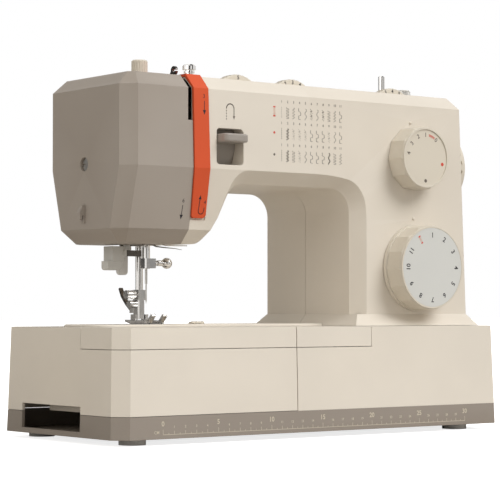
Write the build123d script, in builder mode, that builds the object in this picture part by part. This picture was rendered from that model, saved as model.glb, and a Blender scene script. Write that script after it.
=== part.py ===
"""Domestic free-arm sewing machine with a front-loading oscillating hook.

Millimetres. +X runs along the bed towards the handwheel, +Y away from the sewer, +Z up.
The origin is on the floor, under the middle of the machine.
"""
import math
import os

from build123d import *

# ---------------------------------------------------------------- driving dimensions
WALL = 2.5
SEAM = 0.4
RUNNING = 0.05
BEVEL = 10.0
REAR_BEVEL = 14.0
DRAFT = 0.028

# base
FOOT_H = 4.5
BASE_X0 = -193.5
BASE_X1 = 182.5
BASE_HALF_Y = 82.5
BAND_TOP = 21.0
BED_TOP = 85.0
BOX_X1 = -29.0
BAY_Y = -29.1
LID_Z = 69.1
APRON_X1 = 46.8

# free arm
FREE_X0 = -171.5
FREE_X1 = 40.5
FREE_Y0 = -27.5
FREE_Y1 = 35.5
FREE_Z0 = 29.0
FREE_TOP = 87.0
PLATE_T = 1.8

# column, arm and head
ARM_Y0 = -60.5
ARM_Y1 = 55.5
SPLIT_Y = 4.5
ARM_TOP = 274.5
CREASE_TOP = ARM_TOP - BEVEL
CREASE_LOW = 204.5
SOFFIT = 194.5
HEAD_X0 = -172.0
HEAD_SLOPE = 12.5
HEAD_BEVEL_Z = 158.5
HEAD_BOTTOM = 148.0
COVER_X1 = -112.0
COLUMN_X0 = 49.0
COLUMN_TOP_X1 = 161.0
COLUMN_FOOT_X1 = 168.0
END_BEVEL = 5.0
RIM = 0.8
SKIRT_TOP = 94.5
SKIRT_OUT = 8.0
THROAT_FOOT_X = -92.1
THROAT_HEAD_X = -71.7
SECTION_X = 0.0

# axes
AXIS_Y = -2.5
SHAFT_Z = 218.8
SHAFT_R = 5.0
NEEDLE_X = -114.8
PRESSER_Y = 7.0
BAR_R = 3.0
CRANK_R = 15.0
ROD_LENGTH = 40.0
HOOK_Z = 60.0
HOOK_R = 14.0
LOWER_Y = 20.0
LOWER_R = 4.0
BEAM_Y = (25.0, 32.0)
ECCENTRIC = 6.0
ECCENTRIC_R = 12.0
SHUTTLE_ROD = 142.0
MOTOR_Y = -45.0
MOTOR_Z = 36.0
PULLEY_X = (150.0, 157.0)
PULLEY_R = 26.0
MOTOR_PULLEY_R = 8.0

# controls
LENGTH_DIAL = (108.0, 221.1)
PATTERN_DIAL = (111.5, 132.2)
THUMB_WHEELS = (("tension_dial", -51.7), ("width_dial", 2.6), ("balance_dial", 108.3))
WHEEL_R = 24.0
WHEEL_Y = (-36.5, -28.5)
WHEEL_Z = ARM_TOP + 6.5 - WHEEL_R
SPINDLE = (135.0, 7.5)
SPOOL_PIN = (30.0, 38.5)
LEVER_Z = 228.0
LEVER_PIVOT_Y = -15.0
LID_PIVOT = (-31.3, 83.0)
LIFTER_PIVOT = (20.0, 152.0)
TAKE_UP_PIVOT = (-12.0, 240.0)
TAKE_UP_TIP = (-39.5, 279.0)
FOOT_PIVOT = (6.5, 92.5)
TOE_PIVOT = (13.5, 97.5)
INLET_X = BASE_X1 - 0.1
SWITCH_PIVOT = (INLET_X - 4.4, 43.0)
LEVER_ARC = 34.5
TRIM_FOOT = (-108.0, -94.3)

OPEN = 30.0  # how far a cutting tool runs past the face that it opens


# ---------------------------------------------------------------- helpers
def block(x, y, z, mode=Mode.ADD):
    """Box between two limits along each axis."""
    with Locations((x[0], y[0], z[0])):
        Box(x[1] - x[0], y[1] - y[0], z[1] - z[0], align=(Align.MIN,) * 3, mode=mode)


ROD = (Align.CENTER, Align.CENTER, Align.MIN)


def rod_x(x, y, z, radius, mode=Mode.ADD):
    with Locations((x[0], y, z)):
        Cylinder(radius, x[1] - x[0], rotation=(0, 90, 0), align=ROD, mode=mode)


def rod_y(x, y, z, radius, mode=Mode.ADD):
    with Locations((x, y[0], z)):
        Cylinder(radius, y[1] - y[0], rotation=(-90, 0, 0), align=ROD, mode=mode)


def rod_z(x, y, z, radius, mode=Mode.ADD):
    with Locations((x, y, z[0])):
        Cylinder(radius, z[1] - z[0], align=ROD, mode=mode)


def stack(sections):
    """Solid with flat sides through level outlines, given as (height, points)."""
    with BuildPart(mode=Mode.PRIVATE) as solid:
        for height, points in sections:
            with BuildSketch(Plane.XY.offset(height)):
                with BuildLine():
                    Polyline(*points, close=True)
                make_face()
        loft(ruled=True)
    return solid.part


def prism_x(points, x):
    """Outline in the YZ plane, drawn out along X."""
    with BuildPart(mode=Mode.PRIVATE) as solid:
        with BuildSketch(Plane.YZ.offset(x[0])):
            with BuildLine():
                Polyline(*points, close=True)
            make_face()
        extrude(amount=x[1] - x[0])
    return solid.part


def cut_corners(x, y, cuts):
    """Rectangle with its four corners cut, in the order -x-y, +x-y, +x+y, -x+y."""
    a, b, c, d = cuts
    return [
        (x[0], y[0] + a), (x[0] + a, y[0]), (x[1] - b, y[0]), (x[1], y[0] + b),
        (x[1], y[1] - c), (x[1] - c, y[1]), (x[0] + d, y[1]), (x[0], y[1] - d),
    ]


def base_block(z, inset=0.0):
    """Length of the drafted base between two heights, drawn in by an inset."""
    sections = []
    for height in z:
        back = inset + (height - FOOT_H) * DRAFT
        x = (BASE_X0 + back, BASE_X1 - back)
        y = (back - BASE_HALF_Y, BASE_HALF_Y - back)
        sections.append((height, cut_corners(x, y, (BEVEL, 3.0, 3.0, BEVEL))))
    return stack(sections)


def head_block(inset=0.0):
    """Faceted head: a straight waist, a top bevel, a sloped skirt and a bottom bevel."""
    short = BEVEL * (math.sqrt(2) - 1)

    def section(height, left, front, rear, cut):
        x = (left + inset, SECTION_X)
        y = (front + inset, rear - inset)
        return height, cut_corners(x, y, (cut, 0.01, 0.01, cut + REAR_BEVEL - BEVEL))

    low = HEAD_BEVEL_Z - HEAD_BOTTOM
    pull = inset * (math.sqrt(2) - 2)
    return stack([
        section(HEAD_BOTTOM + inset, HEAD_X0 + low + pull, ARM_Y0 + HEAD_SLOPE + low + pull,
                ARM_Y1 - HEAD_SLOPE - low - pull, short),
        section(HEAD_BEVEL_Z, HEAD_X0, ARM_Y0 + HEAD_SLOPE, ARM_Y1 - HEAD_SLOPE, BEVEL),
        section(CREASE_LOW, HEAD_X0, ARM_Y0, ARM_Y1, BEVEL),
        section(CREASE_TOP, HEAD_X0, ARM_Y0, ARM_Y1, BEVEL),
        section(ARM_TOP - inset, HEAD_X0 + BEVEL + pull, ARM_Y0 + BEVEL + pull,
                ARM_Y1 - BEVEL - pull, short),
    ])


def arm_block(inset=0.0):
    """Right-hand stretch of the arm with the column under it."""
    pull = inset * (math.sqrt(2) - 2)
    top = ARM_TOP - inset
    ends = (ARM_Y0 + inset, ARM_Y1 - inset)
    side = [
        (ends[0], BED_TOP), (ends[0], CREASE_TOP), (ARM_Y0 + BEVEL + inset + pull, top),
        (ARM_Y1 - BEVEL - inset - pull, top), (ends[1], CREASE_TOP), (ends[1], BED_TOP),
    ]
    right = COLUMN_TOP_X1 - inset
    foot = COLUMN_FOOT_X1 - inset
    with BuildPart(mode=Mode.PRIVATE) as solid:
        add(prism_x(side, (SECTION_X, COLUMN_FOOT_X1)))
        with BuildSketch(Plane.XZ.offset(BASE_HALF_Y)):
            with BuildLine():
                Polyline((SECTION_X, BED_TOP), (SECTION_X, top), (right - END_BEVEL - pull, top),
                         (right, CREASE_TOP), (foot, SKIRT_TOP), (foot, BED_TOP), close=True)
            make_face()
        extrude(amount=-2 * BASE_HALF_Y, mode=Mode.INTERSECT)
    return solid.part


def throat_face(grow, y):
    """Outline of the open space under the arm, grown into the casing, at one depth."""
    drop = HEAD_BOTTOM - OPEN
    lean = (THROAT_HEAD_X - THROAT_FOOT_X) / (188.0 - HEAD_BOTTOM)
    top_x = THROAT_FOOT_X + lean * (SOFFIT - HEAD_BOTTOM)
    with BuildSketch(Plane.XZ.offset(-y)) as face:
        with BuildLine():
            FilletPolyline(
                (COLUMN_X0 - 60, BED_TOP - OPEN), (COLUMN_X0, BED_TOP - OPEN), (COLUMN_X0, SOFFIT),
                (top_x, SOFFIT), (THROAT_FOOT_X, HEAD_BOTTOM), (HEAD_X0 - OPEN, HEAD_BOTTOM),
                (HEAD_X0 - OPEN, drop - OPEN), close=True,
                radius=[0.01, 0.01, 19.0, 16.0, 7.0, 0.01, 0.01])
        make_face()
        if grow:
            offset(amount=grow, kind=Kind.INTERSECTION)
    return face.sketch


def throat_cutter(inset=0.0):
    """Space under the arm, with the wide bevel round its front edge."""
    front = ARM_Y0 + inset
    with BuildPart(mode=Mode.PRIVATE) as solid:
        depth = ARM_Y1 - ARM_Y0 + 2 * OPEN
        add(extrude(throat_face(inset, ARM_Y1 + OPEN), amount=depth, mode=Mode.PRIVATE))
        near = throat_face(inset + BEVEL + OPEN, front - OPEN)
        far = throat_face(inset, front + BEVEL)
        add(loft([near, far], ruled=True, mode=Mode.PRIVATE))
    return solid.part


def body_solid(inset=0.0):
    """Whole casing above the bed as one lump, drawn in by an inset."""
    return head_block(inset) + arm_block(inset) - throat_cutter(inset)


def outline_y(points, y):
    """Outline in the XZ plane, drawn out along Y."""
    with BuildPart(mode=Mode.PRIVATE) as solid:
        with BuildSketch(Plane.XZ.offset(-y[1])):
            with BuildLine():
                Polyline(*points, close=True)
            make_face()
        extrude(amount=y[1] - y[0])
    return solid.part


def lump(x, y, z):
    """Plain box as a tool for keeping or cutting part of another solid."""
    size = (x[1] - x[0], y[1] - y[0], z[1] - z[0])
    return Pos(x[0], y[0], z[0]) * Box(*size, align=(Align.MIN,) * 3, mode=Mode.PRIVATE)


def trim_line(side):
    """Slanted edge of the trim strip beside the face cover, bottom to top."""
    return [
        (-106.0 + side, HEAD_BOTTOM - OPEN), (-107.2 + side, 166.0), (-111.3 + side, CREASE_LOW),
        (-112.6 + side, CREASE_TOP), (-112.6 + side, ARM_TOP + OPEN),
    ]


EVERY_Y = (-200.0, 200.0)
EVERY_Z = (-10.0, 400.0)
EVERY_X = (-300.0, 300.0)

outside = body_solid()
inside = body_solid(WALL)
casing = outside - inside

os.makedirs("parts", exist_ok=True)

# ---------------------------------------------------------------- base
with BuildPart() as rubber_feet:
    for foot_x in (-168.0, 152.5):
        for foot_y in (-62.5, 62.5):
            rod_z(foot_x, foot_y, (0.0, FOOT_H), 10.0)
            rod_z(foot_x, foot_y, (-1.0, 1.2), 5.0, Mode.SUBTRACT)
rubber_feet.part.label = "rubber_feet"

with BuildPart() as base_tray:
    add(base_block((FOOT_H, BAND_TOP)))
    add(base_block((FOOT_H + WALL, BAND_TOP + OPEN), WALL), mode=Mode.SUBTRACT)
    block((BASE_X0 - OPEN, BASE_X0 + 8), (-31.5, 50.5), (8.5, BAND_TOP + OPEN), Mode.SUBTRACT)
    for slot_x in range(60, 160, 12):
        block((slot_x, slot_x + 5), (-60, -25), (0, FOOT_H + OPEN / 10), Mode.SUBTRACT)
base_tray.part.label = "base_tray"

fixed_x = BOX_X1 + SEAM
with BuildPart() as base_cover:
    add(base_block((BAND_TOP, BED_TOP)))
    add(base_block((BAND_TOP - OPEN, BED_TOP - WALL), WALL), mode=Mode.SUBTRACT)
    block((fixed_x, fixed_x + WALL), (-79.0, 79.0), (BAND_TOP, BED_TOP))
    add(lump((-300, fixed_x), EVERY_Y, EVERY_Z), mode=Mode.SUBTRACT)
    block((fixed_x - 1, 41.0), (-28.0, 36.0), (FREE_Z0 - 0.5, BED_TOP + OPEN), Mode.SUBTRACT)
    block((fixed_x - 1, APRON_X1), (-100.0, -27.5), (LID_Z, BED_TOP + OPEN), Mode.SUBTRACT)
    block((56.0, 163.0), (-56.0, 48.0), (BED_TOP - OPEN / 2, BED_TOP + OPEN), Mode.SUBTRACT)
    block((160.0, 190.0), (-22.2, 46.2), (31.8, 54.2), Mode.SUBTRACT)
base_cover.part.label = "base_cover"

with BuildPart() as bed_front_cover:
    add(base_block((LID_Z + SEAM, BED_TOP)))
    add(base_block((LID_Z - OPEN, BED_TOP - WALL), WALL), mode=Mode.SUBTRACT)
    block((fixed_x, fixed_x + WALL), (-79.0, -28.0), (LID_Z + SEAM, BED_TOP))
    add(lump((fixed_x, APRON_X1 - SEAM), (-100.0, -28.0), EVERY_Z), mode=Mode.INTERSECT)
bed_front_cover.part.label = "bed_front_cover"

with BuildPart() as power_inlet:
    block((INLET_X - 17.4, INLET_X), (18.0, 46.0), (32.0, 54.0))
    block((INLET_X - 14.4, INLET_X + OPEN), (20.5, 43.5), (34.5, 51.5), Mode.SUBTRACT)
    for pin_y, pin_z in ((26.0, 40.0), (38.0, 40.0), (32.0, 46.5)):
        rod_x((INLET_X - 14.4, INLET_X - 4.4), pin_y, pin_z, 1.6)
    block((INLET_X - 12.4, INLET_X), (-22.0, 18.1), (32.0, 54.0))
    block((INLET_X - 9.4, INLET_X + OPEN), (-19.8, -4.2), (34.2, 51.8), Mode.SUBTRACT)
    rod_y(SWITCH_PIVOT[0], (-21.2, -2.8), SWITCH_PIVOT[1], 1.5 + RUNNING, Mode.SUBTRACT)
power_inlet.part.label = "power_inlet"

with BuildPart() as power_switch:
    with BuildSketch(Plane.XZ.offset(4.7)):
        with BuildLine():
            Polyline((INLET_X - 7.4, 35.4), (INLET_X - 7.4, 50.6), (INLET_X + 0.2, 50.6),
                     (INLET_X - 1.0, 43.0), (INLET_X + 1.0, 35.4), close=True)
        make_face()
    extrude(amount=14.6)
    rod_y(SWITCH_PIVOT[0], (-21.0, -3.0), SWITCH_PIVOT[1], 1.5)
power_switch.part.label = "power_switch"

# ---------------------------------------------------------------- accessory box
box_x = (BASE_X0 - 1, BOX_X1 - 0.3)
channel_x = FREE_X0 - 1.5
with BuildPart() as accessory_box:
    add(base_block((BAND_TOP + 0.3, BED_TOP)))
    add(base_block((BAND_TOP + 2.7, BED_TOP + OPEN), WALL)
        & lump((-300, box_x[1] - WALL), (-100.0, BAY_Y - WALL), EVERY_Z), mode=Mode.SUBTRACT)
    hollow = lump((-300, channel_x - WALL), (BAY_Y, 100.0), EVERY_Z)
    hollow += lump((-300, box_x[1] - WALL), (39.0, 100.0), EVERY_Z)
    add(base_block((BAND_TOP - OPEN, BED_TOP - WALL), WALL) & hollow, mode=Mode.SUBTRACT)
    block((channel_x, 300.0), (BAY_Y, 36.5), EVERY_Z, Mode.SUBTRACT)
    block(EVERY_X, (-100.0, BAY_Y - WALL), (LID_Z, BED_TOP + OPEN), Mode.SUBTRACT)
    block(EVERY_X, (BAY_Y - WALL - 1, BAY_Y), (79.0, BED_TOP + OPEN), Mode.SUBTRACT)
    for notch_x in ((BASE_X0 - 1, BASE_X0 + 5.5), (box_x[1] - 5, box_x[1] + 1)):
        block(notch_x, (BAY_Y - WALL - 1, BAY_Y), (LID_Z, BED_TOP + OPEN), Mode.SUBTRACT)
    block((BASE_X0 - OPEN, BASE_X0 + 4), (-31.5, 50.5), (0, 27.0), Mode.SUBTRACT)
    block(EVERY_X, EVERY_Y, (BED_TOP, BED_TOP + OPEN), Mode.SUBTRACT)
    add(lump((-300, box_x[1]), EVERY_Y, EVERY_Z), mode=Mode.INTERSECT)
    for ear_x in (-186.0, -38.0):
        block((ear_x, ear_x + 2.5), (LID_PIVOT[0] - 2.0, BAY_Y), (76.0, 80.0))
        block((ear_x, ear_x + 2.5), (LID_PIVOT[0] - 2.0, LID_PIVOT[0] + 2.0), (78.0, LID_PIVOT[1]))
        rod_x((ear_x, ear_x + 2.5), LID_PIVOT[0], LID_PIVOT[1], 2.0)
        rod_x((ear_x - 1, ear_x + 4), LID_PIVOT[0], LID_PIVOT[1], 1.05, Mode.SUBTRACT)
accessory_box.part.label = "accessory_box"

with BuildPart() as box_lid:
    add(base_block((LID_Z + SEAM, BED_TOP)))
    add(lump((-300, box_x[1]), (-100.0, BAY_Y - 0.2), EVERY_Z), mode=Mode.INTERSECT)
    rear_top = box_lid.edges().filter_by(Axis.X).group_by(Axis.Z)[-1].sort_by(Axis.Y)[-1]
    fillet(rear_top, 1.9)
    add(base_block((LID_Z - OPEN, BED_TOP - 2.3), WALL)
        & lump((-300, box_x[1] - 2.3), (-100.0, 100.0), EVERY_Z), mode=Mode.SUBTRACT)
    for ear_x in (-186.0, -38.0):
        block((ear_x - 0.4, ear_x + 2.9), (LID_PIVOT[0] - 2.5, 0.0), (LID_Z, BED_TOP + OPEN),
              Mode.SUBTRACT)
        rod_x((ear_x - 1.4, ear_x + 3.9), LID_PIVOT[0], LID_PIVOT[1], 1.0)
box_lid.part.label = "box_lid"

# ---------------------------------------------------------------- free arm
with BuildPart() as free_arm:
    block((FREE_X0, FREE_X1), (FREE_Y0, FREE_Y1), (FREE_Z0, FREE_TOP))
    fillet(free_arm.edges().filter_by(Axis.Z).group_by(Axis.X)[0], 14.0)
    chamfer(free_arm.faces().sort_by(Axis.Z)[-1].edges().sort_by(Axis.X)[:-1], 1.2)
    with BuildSketch(Plane.XY.offset(FREE_Z0 + 2.2)):
        with Locations(((FREE_X0 + FREE_X1) / 2 + 2.2, (FREE_Y0 + FREE_Y1) / 2)):
            RectangleRounded(FREE_X1 - FREE_X0, FREE_Y1 - FREE_Y0 - 4.4, 11.8)
        with Locations((FREE_X1, (FREE_Y0 + FREE_Y1) / 2)):
            Rectangle(40.0, FREE_Y1 - FREE_Y0 - 4.4)
    extrude(amount=FREE_TOP - FREE_Z0 - 5.4, mode=Mode.SUBTRACT)
    block((-150.3, -95.7), (-20.3, 24.3), (FREE_TOP - PLATE_T - 0.1, FREE_TOP + 1), Mode.SUBTRACT)
    block((-124.0, -105.0), (-17.0, 12.0), (FREE_TOP - 10, FREE_TOP), Mode.SUBTRACT)
    block((-152.3, -79.7), (FREE_Y0 - 1, FREE_Y0 + 3), (36.7, 74.3), Mode.SUBTRACT)
    block((-71.0, -50.0), (0.0, 3.2), (FREE_TOP - 10, FREE_TOP + 1), Mode.SUBTRACT)
free_arm.part.label = "free_arm"

with BuildPart() as shuttle_door:
    block((-152.0, -80.0), (FREE_Y0, FREE_Y0 + 2.0), (37.0, 74.0))
    fillet(shuttle_door.edges().filter_by(Axis.Y), 3.0)
    block((-147.0, -137.0), (FREE_Y0 - 0.1, FREE_Y0 + 0.8), (50.0, 61.0), Mode.SUBTRACT)
shuttle_door.part.label = "shuttle_door"

with BuildPart() as needle_plate:
    block((-150.0, -96.0), (-20.0, 24.0), (FREE_TOP - PLATE_T, FREE_TOP))
    fillet(needle_plate.edges().filter_by(Axis.Z), 5.0)
    with Locations((NEEDLE_X, AXIS_Y, FREE_TOP - PLATE_T / 2)):
        Box(7.0, 1.8, 2 * PLATE_T, mode=Mode.SUBTRACT)
    for slot_x in (-120.5, -109.1):
        block((slot_x - 1.6, slot_x + 1.6), (-15.0, 9.0), (FREE_TOP - OPEN, FREE_TOP + 1), Mode.SUBTRACT)
    for screw_x in (-143.0, -101.0):
        with Locations((screw_x, 16.0, FREE_TOP)):
            Cylinder(2.6, 1.0, mode=Mode.SUBTRACT)
needle_plate.part.label = "needle_plate"

with BuildPart() as feed_dog:
    block((-122.1, -107.5), (-14.0, 8.0), (77.8, 80.0))
    block((-118.4, -111.2), (-9.0, 4.0), (70.0, 90.0), Mode.SUBTRACT)
    for bar_x in (-120.5, -109.1):
        block((bar_x - 1.1, bar_x + 1.1), (-14.0, 8.0), (79.0, FREE_TOP - 0.3))
        for step in range(14):
            with Locations(Location((bar_x, -13.2 + 1.5 * step, FREE_TOP - 0.3), (45, 0, 0))):
                Box(3.0, 0.7, 0.7, mode=Mode.SUBTRACT)
feed_dog.part.label = "feed_dog"

with BuildPart() as drop_feed_slider:
    block((-70.0, -58.0), (-0.8, 4.0), (FREE_TOP + 0.3, FREE_TOP + 1.5))
    for rib in range(4):
        block((-68.0 + 2.8 * rib, -66.8 + 2.8 * rib), (-0.8, 4.0), (FREE_TOP + 1.4, FREE_TOP + 2.0))
    block((-68.0, -60.0), (0.35, 2.85), (81.0, FREE_TOP + 1.0))
drop_feed_slider.part.label = "drop_feed_slider"

# ---------------------------------------------------------------- hook and bobbin
with BuildPart() as shuttle_race:
    rod_y(NEEDLE_X, (-9.0, -3.7), HOOK_Z, HOOK_R + 3.5)
    rod_y(NEEDLE_X, (-10.0, -3.0), HOOK_Z, HOOK_R + 0.4, Mode.SUBTRACT)
    block((-140.0, -90.0), (-10.0, 0.0), (72.0, 80.0), Mode.SUBTRACT)
    block((-121.0, -108.6), (-9.0, BEAM_Y[0] - 0.1), (40.0, 45.4))
    block((-121.0, -108.6), (0.5, 5.0), (40.0, 66.0))
    rod_y(NEEDLE_X, (-1.0, 8.0), HOOK_Z, LOWER_R + RUNNING, Mode.SUBTRACT)
shuttle_race.part.label = "shuttle_race"

with BuildPart() as shuttle_hook:
    rod_y(NEEDLE_X, (-8.4, -4.3), HOOK_Z, HOOK_R)
    rod_y(NEEDLE_X, (-9.0, -5.8), HOOK_Z, HOOK_R - 2.2, Mode.SUBTRACT)
    block((NEEDLE_X - 20, NEEDLE_X - 7), (-9.0, -4.0), (HOOK_Z + 2, HOOK_Z + 8), Mode.SUBTRACT)
    rod_y(NEEDLE_X, (-5.0, 8.0), HOOK_Z, LOWER_R)
    with Locations(Location((NEEDLE_X, 10.6, HOOK_Z), (-90, 0, 0))):
        Cone(LOWER_Y - 8.1, LOWER_Y - 13.3, 5.2)
shuttle_hook.part.label = "shuttle_hook"

with BuildPart() as bobbin_case:
    rod_y(NEEDLE_X, (-21.0, -9.0), HOOK_Z, 12.0)
    rod_y(NEEDLE_X, (-20.0, -8.0), HOOK_Z, 11.0, Mode.SUBTRACT)
    rod_y(NEEDLE_X, (-20.5, -9.0), HOOK_Z, 3.0)
    block((NEEDLE_X - 3, NEEDLE_X + 3), (-21.0, -9.05), (43.0, 49.0))
bobbin_case.part.label = "bobbin_case"

with BuildPart() as bobbin:
    rod_y(NEEDLE_X, (-19.6, -9.4), HOOK_Z, 4.5)
    for flange_y in (-19.6, -10.4):
        rod_y(NEEDLE_X, (flange_y, flange_y + 1), HOOK_Z, 10.5)
    rod_y(NEEDLE_X, (-22.0, -8.0), HOOK_Z, 3.0 + RUNNING, Mode.SUBTRACT)
bobbin.part.label = "bobbin"

with BuildPart() as lower_shaft:
    rod_x((-104.0, 91.0), LOWER_Y, HOOK_Z, LOWER_R)
    with Locations(Location((-105.1, LOWER_Y, HOOK_Z), (0, 90, 0))):
        Cone(LOWER_Y - 13.3, LOWER_Y - 8.1, 5.2)
    rod_x((84.0, 90.0), LOWER_Y, HOOK_Z, 7.0)
    rod_x((84.0, 90.0), LOWER_Y - 16, HOOK_Z, 4.0)
    block((84.0, 90.0), (LOWER_Y - 16, LOWER_Y), (HOOK_Z - 3.5, HOOK_Z + 3.5))
lower_shaft.part.label = "lower_shaft"

# ---------------------------------------------------------------- cast frame
with BuildPart() as cast_frame:
    block((-92.0, 148.0), (BEAM_Y[0], BEAM_Y[1]), (205.0, 235.0))
    block((100.0, 140.0), BEAM_Y, (FOOT_H + WALL, 206.0))
    block((88.0, 152.0), (-20.0, 40.0), (FOOT_H + WALL, 14.0))
    block((-160.0, 101.0), BEAM_Y, (34.0, 44.0))
    for lug_x in (-95.0, 140.0):
        block((lug_x, lug_x + 8), (AXIS_Y - 10, BEAM_Y[0] + 1), (SHAFT_Z - 10, SHAFT_Z + 10))
        rod_x((lug_x - 1, lug_x + 9), AXIS_Y, SHAFT_Z, SHAFT_R + RUNNING, Mode.SUBTRACT)
    for lug_x in (-92.0, 70.0):
        block((lug_x, lug_x + 7), (LOWER_Y - 7, BEAM_Y[1]), (34.0, HOOK_Z + 7))
        rod_x((lug_x - 1, lug_x + 9), LOWER_Y, HOOK_Z, LOWER_R + RUNNING, Mode.SUBTRACT)
    block((-126.0, -91.0), BEAM_Y, (210.0, 235.0))
    block((-126.0, -122.6), (12.0, BEAM_Y[1]), (210.0, 235.0))
    block((-126.0, -122.6), (-16.0, 13.0), (150.9, 250.0))
    block((-126.0, -122.6), (12.0, 24.0), (150.9, 158.0))
    for lug_z in (150.9, 203.0):
        block((-123.0, -111.2), (-7.5, 12.0), (lug_z, lug_z + 4.6))
    rod_z(NEEDLE_X, AXIS_Y, (140.0, 220.0), BAR_R + RUNNING, Mode.SUBTRACT)
    rod_z(NEEDLE_X, PRESSER_Y, (140.0, 220.0), BAR_R + RUNNING, Mode.SUBTRACT)
    for lug_z in (162.0, 190.0):
        block((-135.0, -125.0), (3.0, 11.0), (lug_z, lug_z + 5))
        rod_z(-131.3, PRESSER_Y, (lug_z - 1, lug_z + 6), 1.6 + RUNNING, Mode.SUBTRACT)
    rod_x((-123.0, -112.6), TAKE_UP_PIVOT[0], TAKE_UP_PIVOT[1], 2.0)
    rod_x((-123.0, -114.0), LIFTER_PIVOT[0], LIFTER_PIVOT[1], 1.5)
cast_frame.part.label = "cast_frame"

# ---------------------------------------------------------------- drive
with BuildPart() as main_shaft:
    rod_x((-98.5, 169.0), AXIS_Y, SHAFT_Z, SHAFT_R)
    rod_x((92.0, 97.0), AXIS_Y, SHAFT_Z - ECCENTRIC, ECCENTRIC_R)
    rod_x(PULLEY_X, AXIS_Y, SHAFT_Z, PULLEY_R)
    for rim_x in PULLEY_X:
        rod_x((rim_x - 0.5, rim_x + 0.5), AXIS_Y, SHAFT_Z, PULLEY_R + 1.5)
main_shaft.part.label = "main_shaft"

with BuildPart() as crank_disc:
    rod_x((-104.0, -98.05), AXIS_Y, SHAFT_Z, 20.0)
    block((-105.0, -98.0), (AXIS_Y - 21, AXIS_Y + 21), (SHAFT_Z - 21, SHAFT_Z - 12), Mode.SUBTRACT)
    rod_x((-100.0, -97.0), AXIS_Y, SHAFT_Z, SHAFT_R, Mode.SUBTRACT)
    rod_x((-109.9, -104.0), AXIS_Y, SHAFT_Z + CRANK_R, 2.5)
crank_disc.part.label = "crank_disc"

rod_foot_z = SHAFT_Z + CRANK_R - ROD_LENGTH
with BuildPart() as needle_rod:
    rod_x((-109.6, -105.2), AXIS_Y, SHAFT_Z + CRANK_R, 5.0)
    rod_x((-109.6, -105.2), AXIS_Y, rod_foot_z, 4.0)
    block((-109.2, -105.6), (AXIS_Y - 2.5, AXIS_Y + 2.5), (rod_foot_z, SHAFT_Z + CRANK_R))
    rod_x((-112.0, -104.0), AXIS_Y, SHAFT_Z + CRANK_R, 2.5 + RUNNING, Mode.SUBTRACT)
    rod_x((-112.0, -104.0), AXIS_Y, rod_foot_z, 2.2, Mode.SUBTRACT)
needle_rod.part.label = "needle_rod"

ring_z = SHAFT_Z - ECCENTRIC
with BuildPart() as shuttle_rod:
    rod_x((92.4, 96.6), AXIS_Y, ring_z, ECCENTRIC_R + 4)
    rod_x((92.4, 96.6), AXIS_Y, ring_z - SHUTTLE_ROD, 5.0)
    block((92.9, 96.1), (AXIS_Y - 3, AXIS_Y + 3), (ring_z - SHUTTLE_ROD, ring_z))
    rod_x((91.0, 98.0), AXIS_Y, ring_z, ECCENTRIC_R + RUNNING, Mode.SUBTRACT)
    rod_x((91.0, 98.0), AXIS_Y, ring_z - SHUTTLE_ROD, 2.2, Mode.SUBTRACT)
shuttle_rod.part.label = "shuttle_rod"

with BuildPart() as handwheel:
    rod_x((168.6, 193.5), AXIS_Y, SHAFT_Z, 33.0)
    chamfer(handwheel.edges().filter_by(GeomType.CIRCLE), 2.0)
    rod_x((187.0, 200.0), AXIS_Y, SHAFT_Z, 25.0, Mode.SUBTRACT)
    rod_x((180.0, 191.5), AXIS_Y, SHAFT_Z, 12.0)
    with Locations(Location((181.0, AXIS_Y, SHAFT_Z), (0, 90, 0))):
        with PolarLocations(33.9, 26):
            Cylinder(1.8, 15.0, mode=Mode.SUBTRACT)
    rod_x((168.0, 169.05), AXIS_Y, SHAFT_Z, SHAFT_R, Mode.SUBTRACT)
handwheel.part.label = "handwheel"

with BuildPart() as motor_body:
    rod_x((62.0, 132.0), MOTOR_Y, MOTOR_Z, 22.0)
    chamfer(motor_body.edges().filter_by(GeomType.CIRCLE), 3.0)
    rod_x((130.0, 138.0), MOTOR_Y, MOTOR_Z, 8.0)
    for foot_x in (74.0, 112.0):
        block((foot_x, foot_x + 10), (MOTOR_Y - 16, MOTOR_Y + 16), (FOOT_H + WALL, 22.0))
    rod_x((90.0, 140.0), MOTOR_Y, MOTOR_Z, 3.0 + RUNNING, Mode.SUBTRACT)
motor_body.part.label = "motor_body"

with BuildPart() as motor_rotor:
    rod_x((92.0, 160.0), MOTOR_Y, MOTOR_Z, 3.0)
    rod_x(PULLEY_X, MOTOR_Y, MOTOR_Z, MOTOR_PULLEY_R)
    for rim_x in PULLEY_X:
        rod_x((rim_x - 0.5, rim_x + 0.5), MOTOR_Y, MOTOR_Z, MOTOR_PULLEY_R + 1.5)
motor_rotor.part.label = "motor_rotor"

with BuildPart() as motor_belt:
    for grow, belt_mode in ((2.3, Mode.ADD), (0.35, Mode.SUBTRACT)):
        with BuildSketch(Plane.YZ.offset(PULLEY_X[0] + 1.0)):
            with BuildLine():
                CenterArc((AXIS_Y, SHAFT_Z), PULLEY_R + grow, 0, 360)
                CenterArc((MOTOR_Y, MOTOR_Z), MOTOR_PULLEY_R + grow, 0, 360)
            make_hull()
        extrude(amount=PULLEY_X[1] - PULLEY_X[0] - 2.0, mode=belt_mode)
motor_belt.part.label = "motor_belt"

# ---------------------------------------------------------------- casing
left_of_trim = outline_y(
    [(-300, HEAD_BOTTOM - OPEN)] + trim_line(-0.3) + [(-300, ARM_TOP + OPEN)], EVERY_Y)


def trim_outline(gap):
    """Outline of the trim strip, or with a gap that of the seat it lies in."""
    return trim_line(-gap)[1:] + [
        (-99.0 + 0.3 * gap, ARM_TOP + OPEN), (-99.0 + 0.3 * gap, CREASE_TOP),
        (-97.0 + 0.3 * gap, CREASE_LOW), (-94.2 + 0.3 * gap, 166.0 - 0.2 * gap),
    ]


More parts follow.
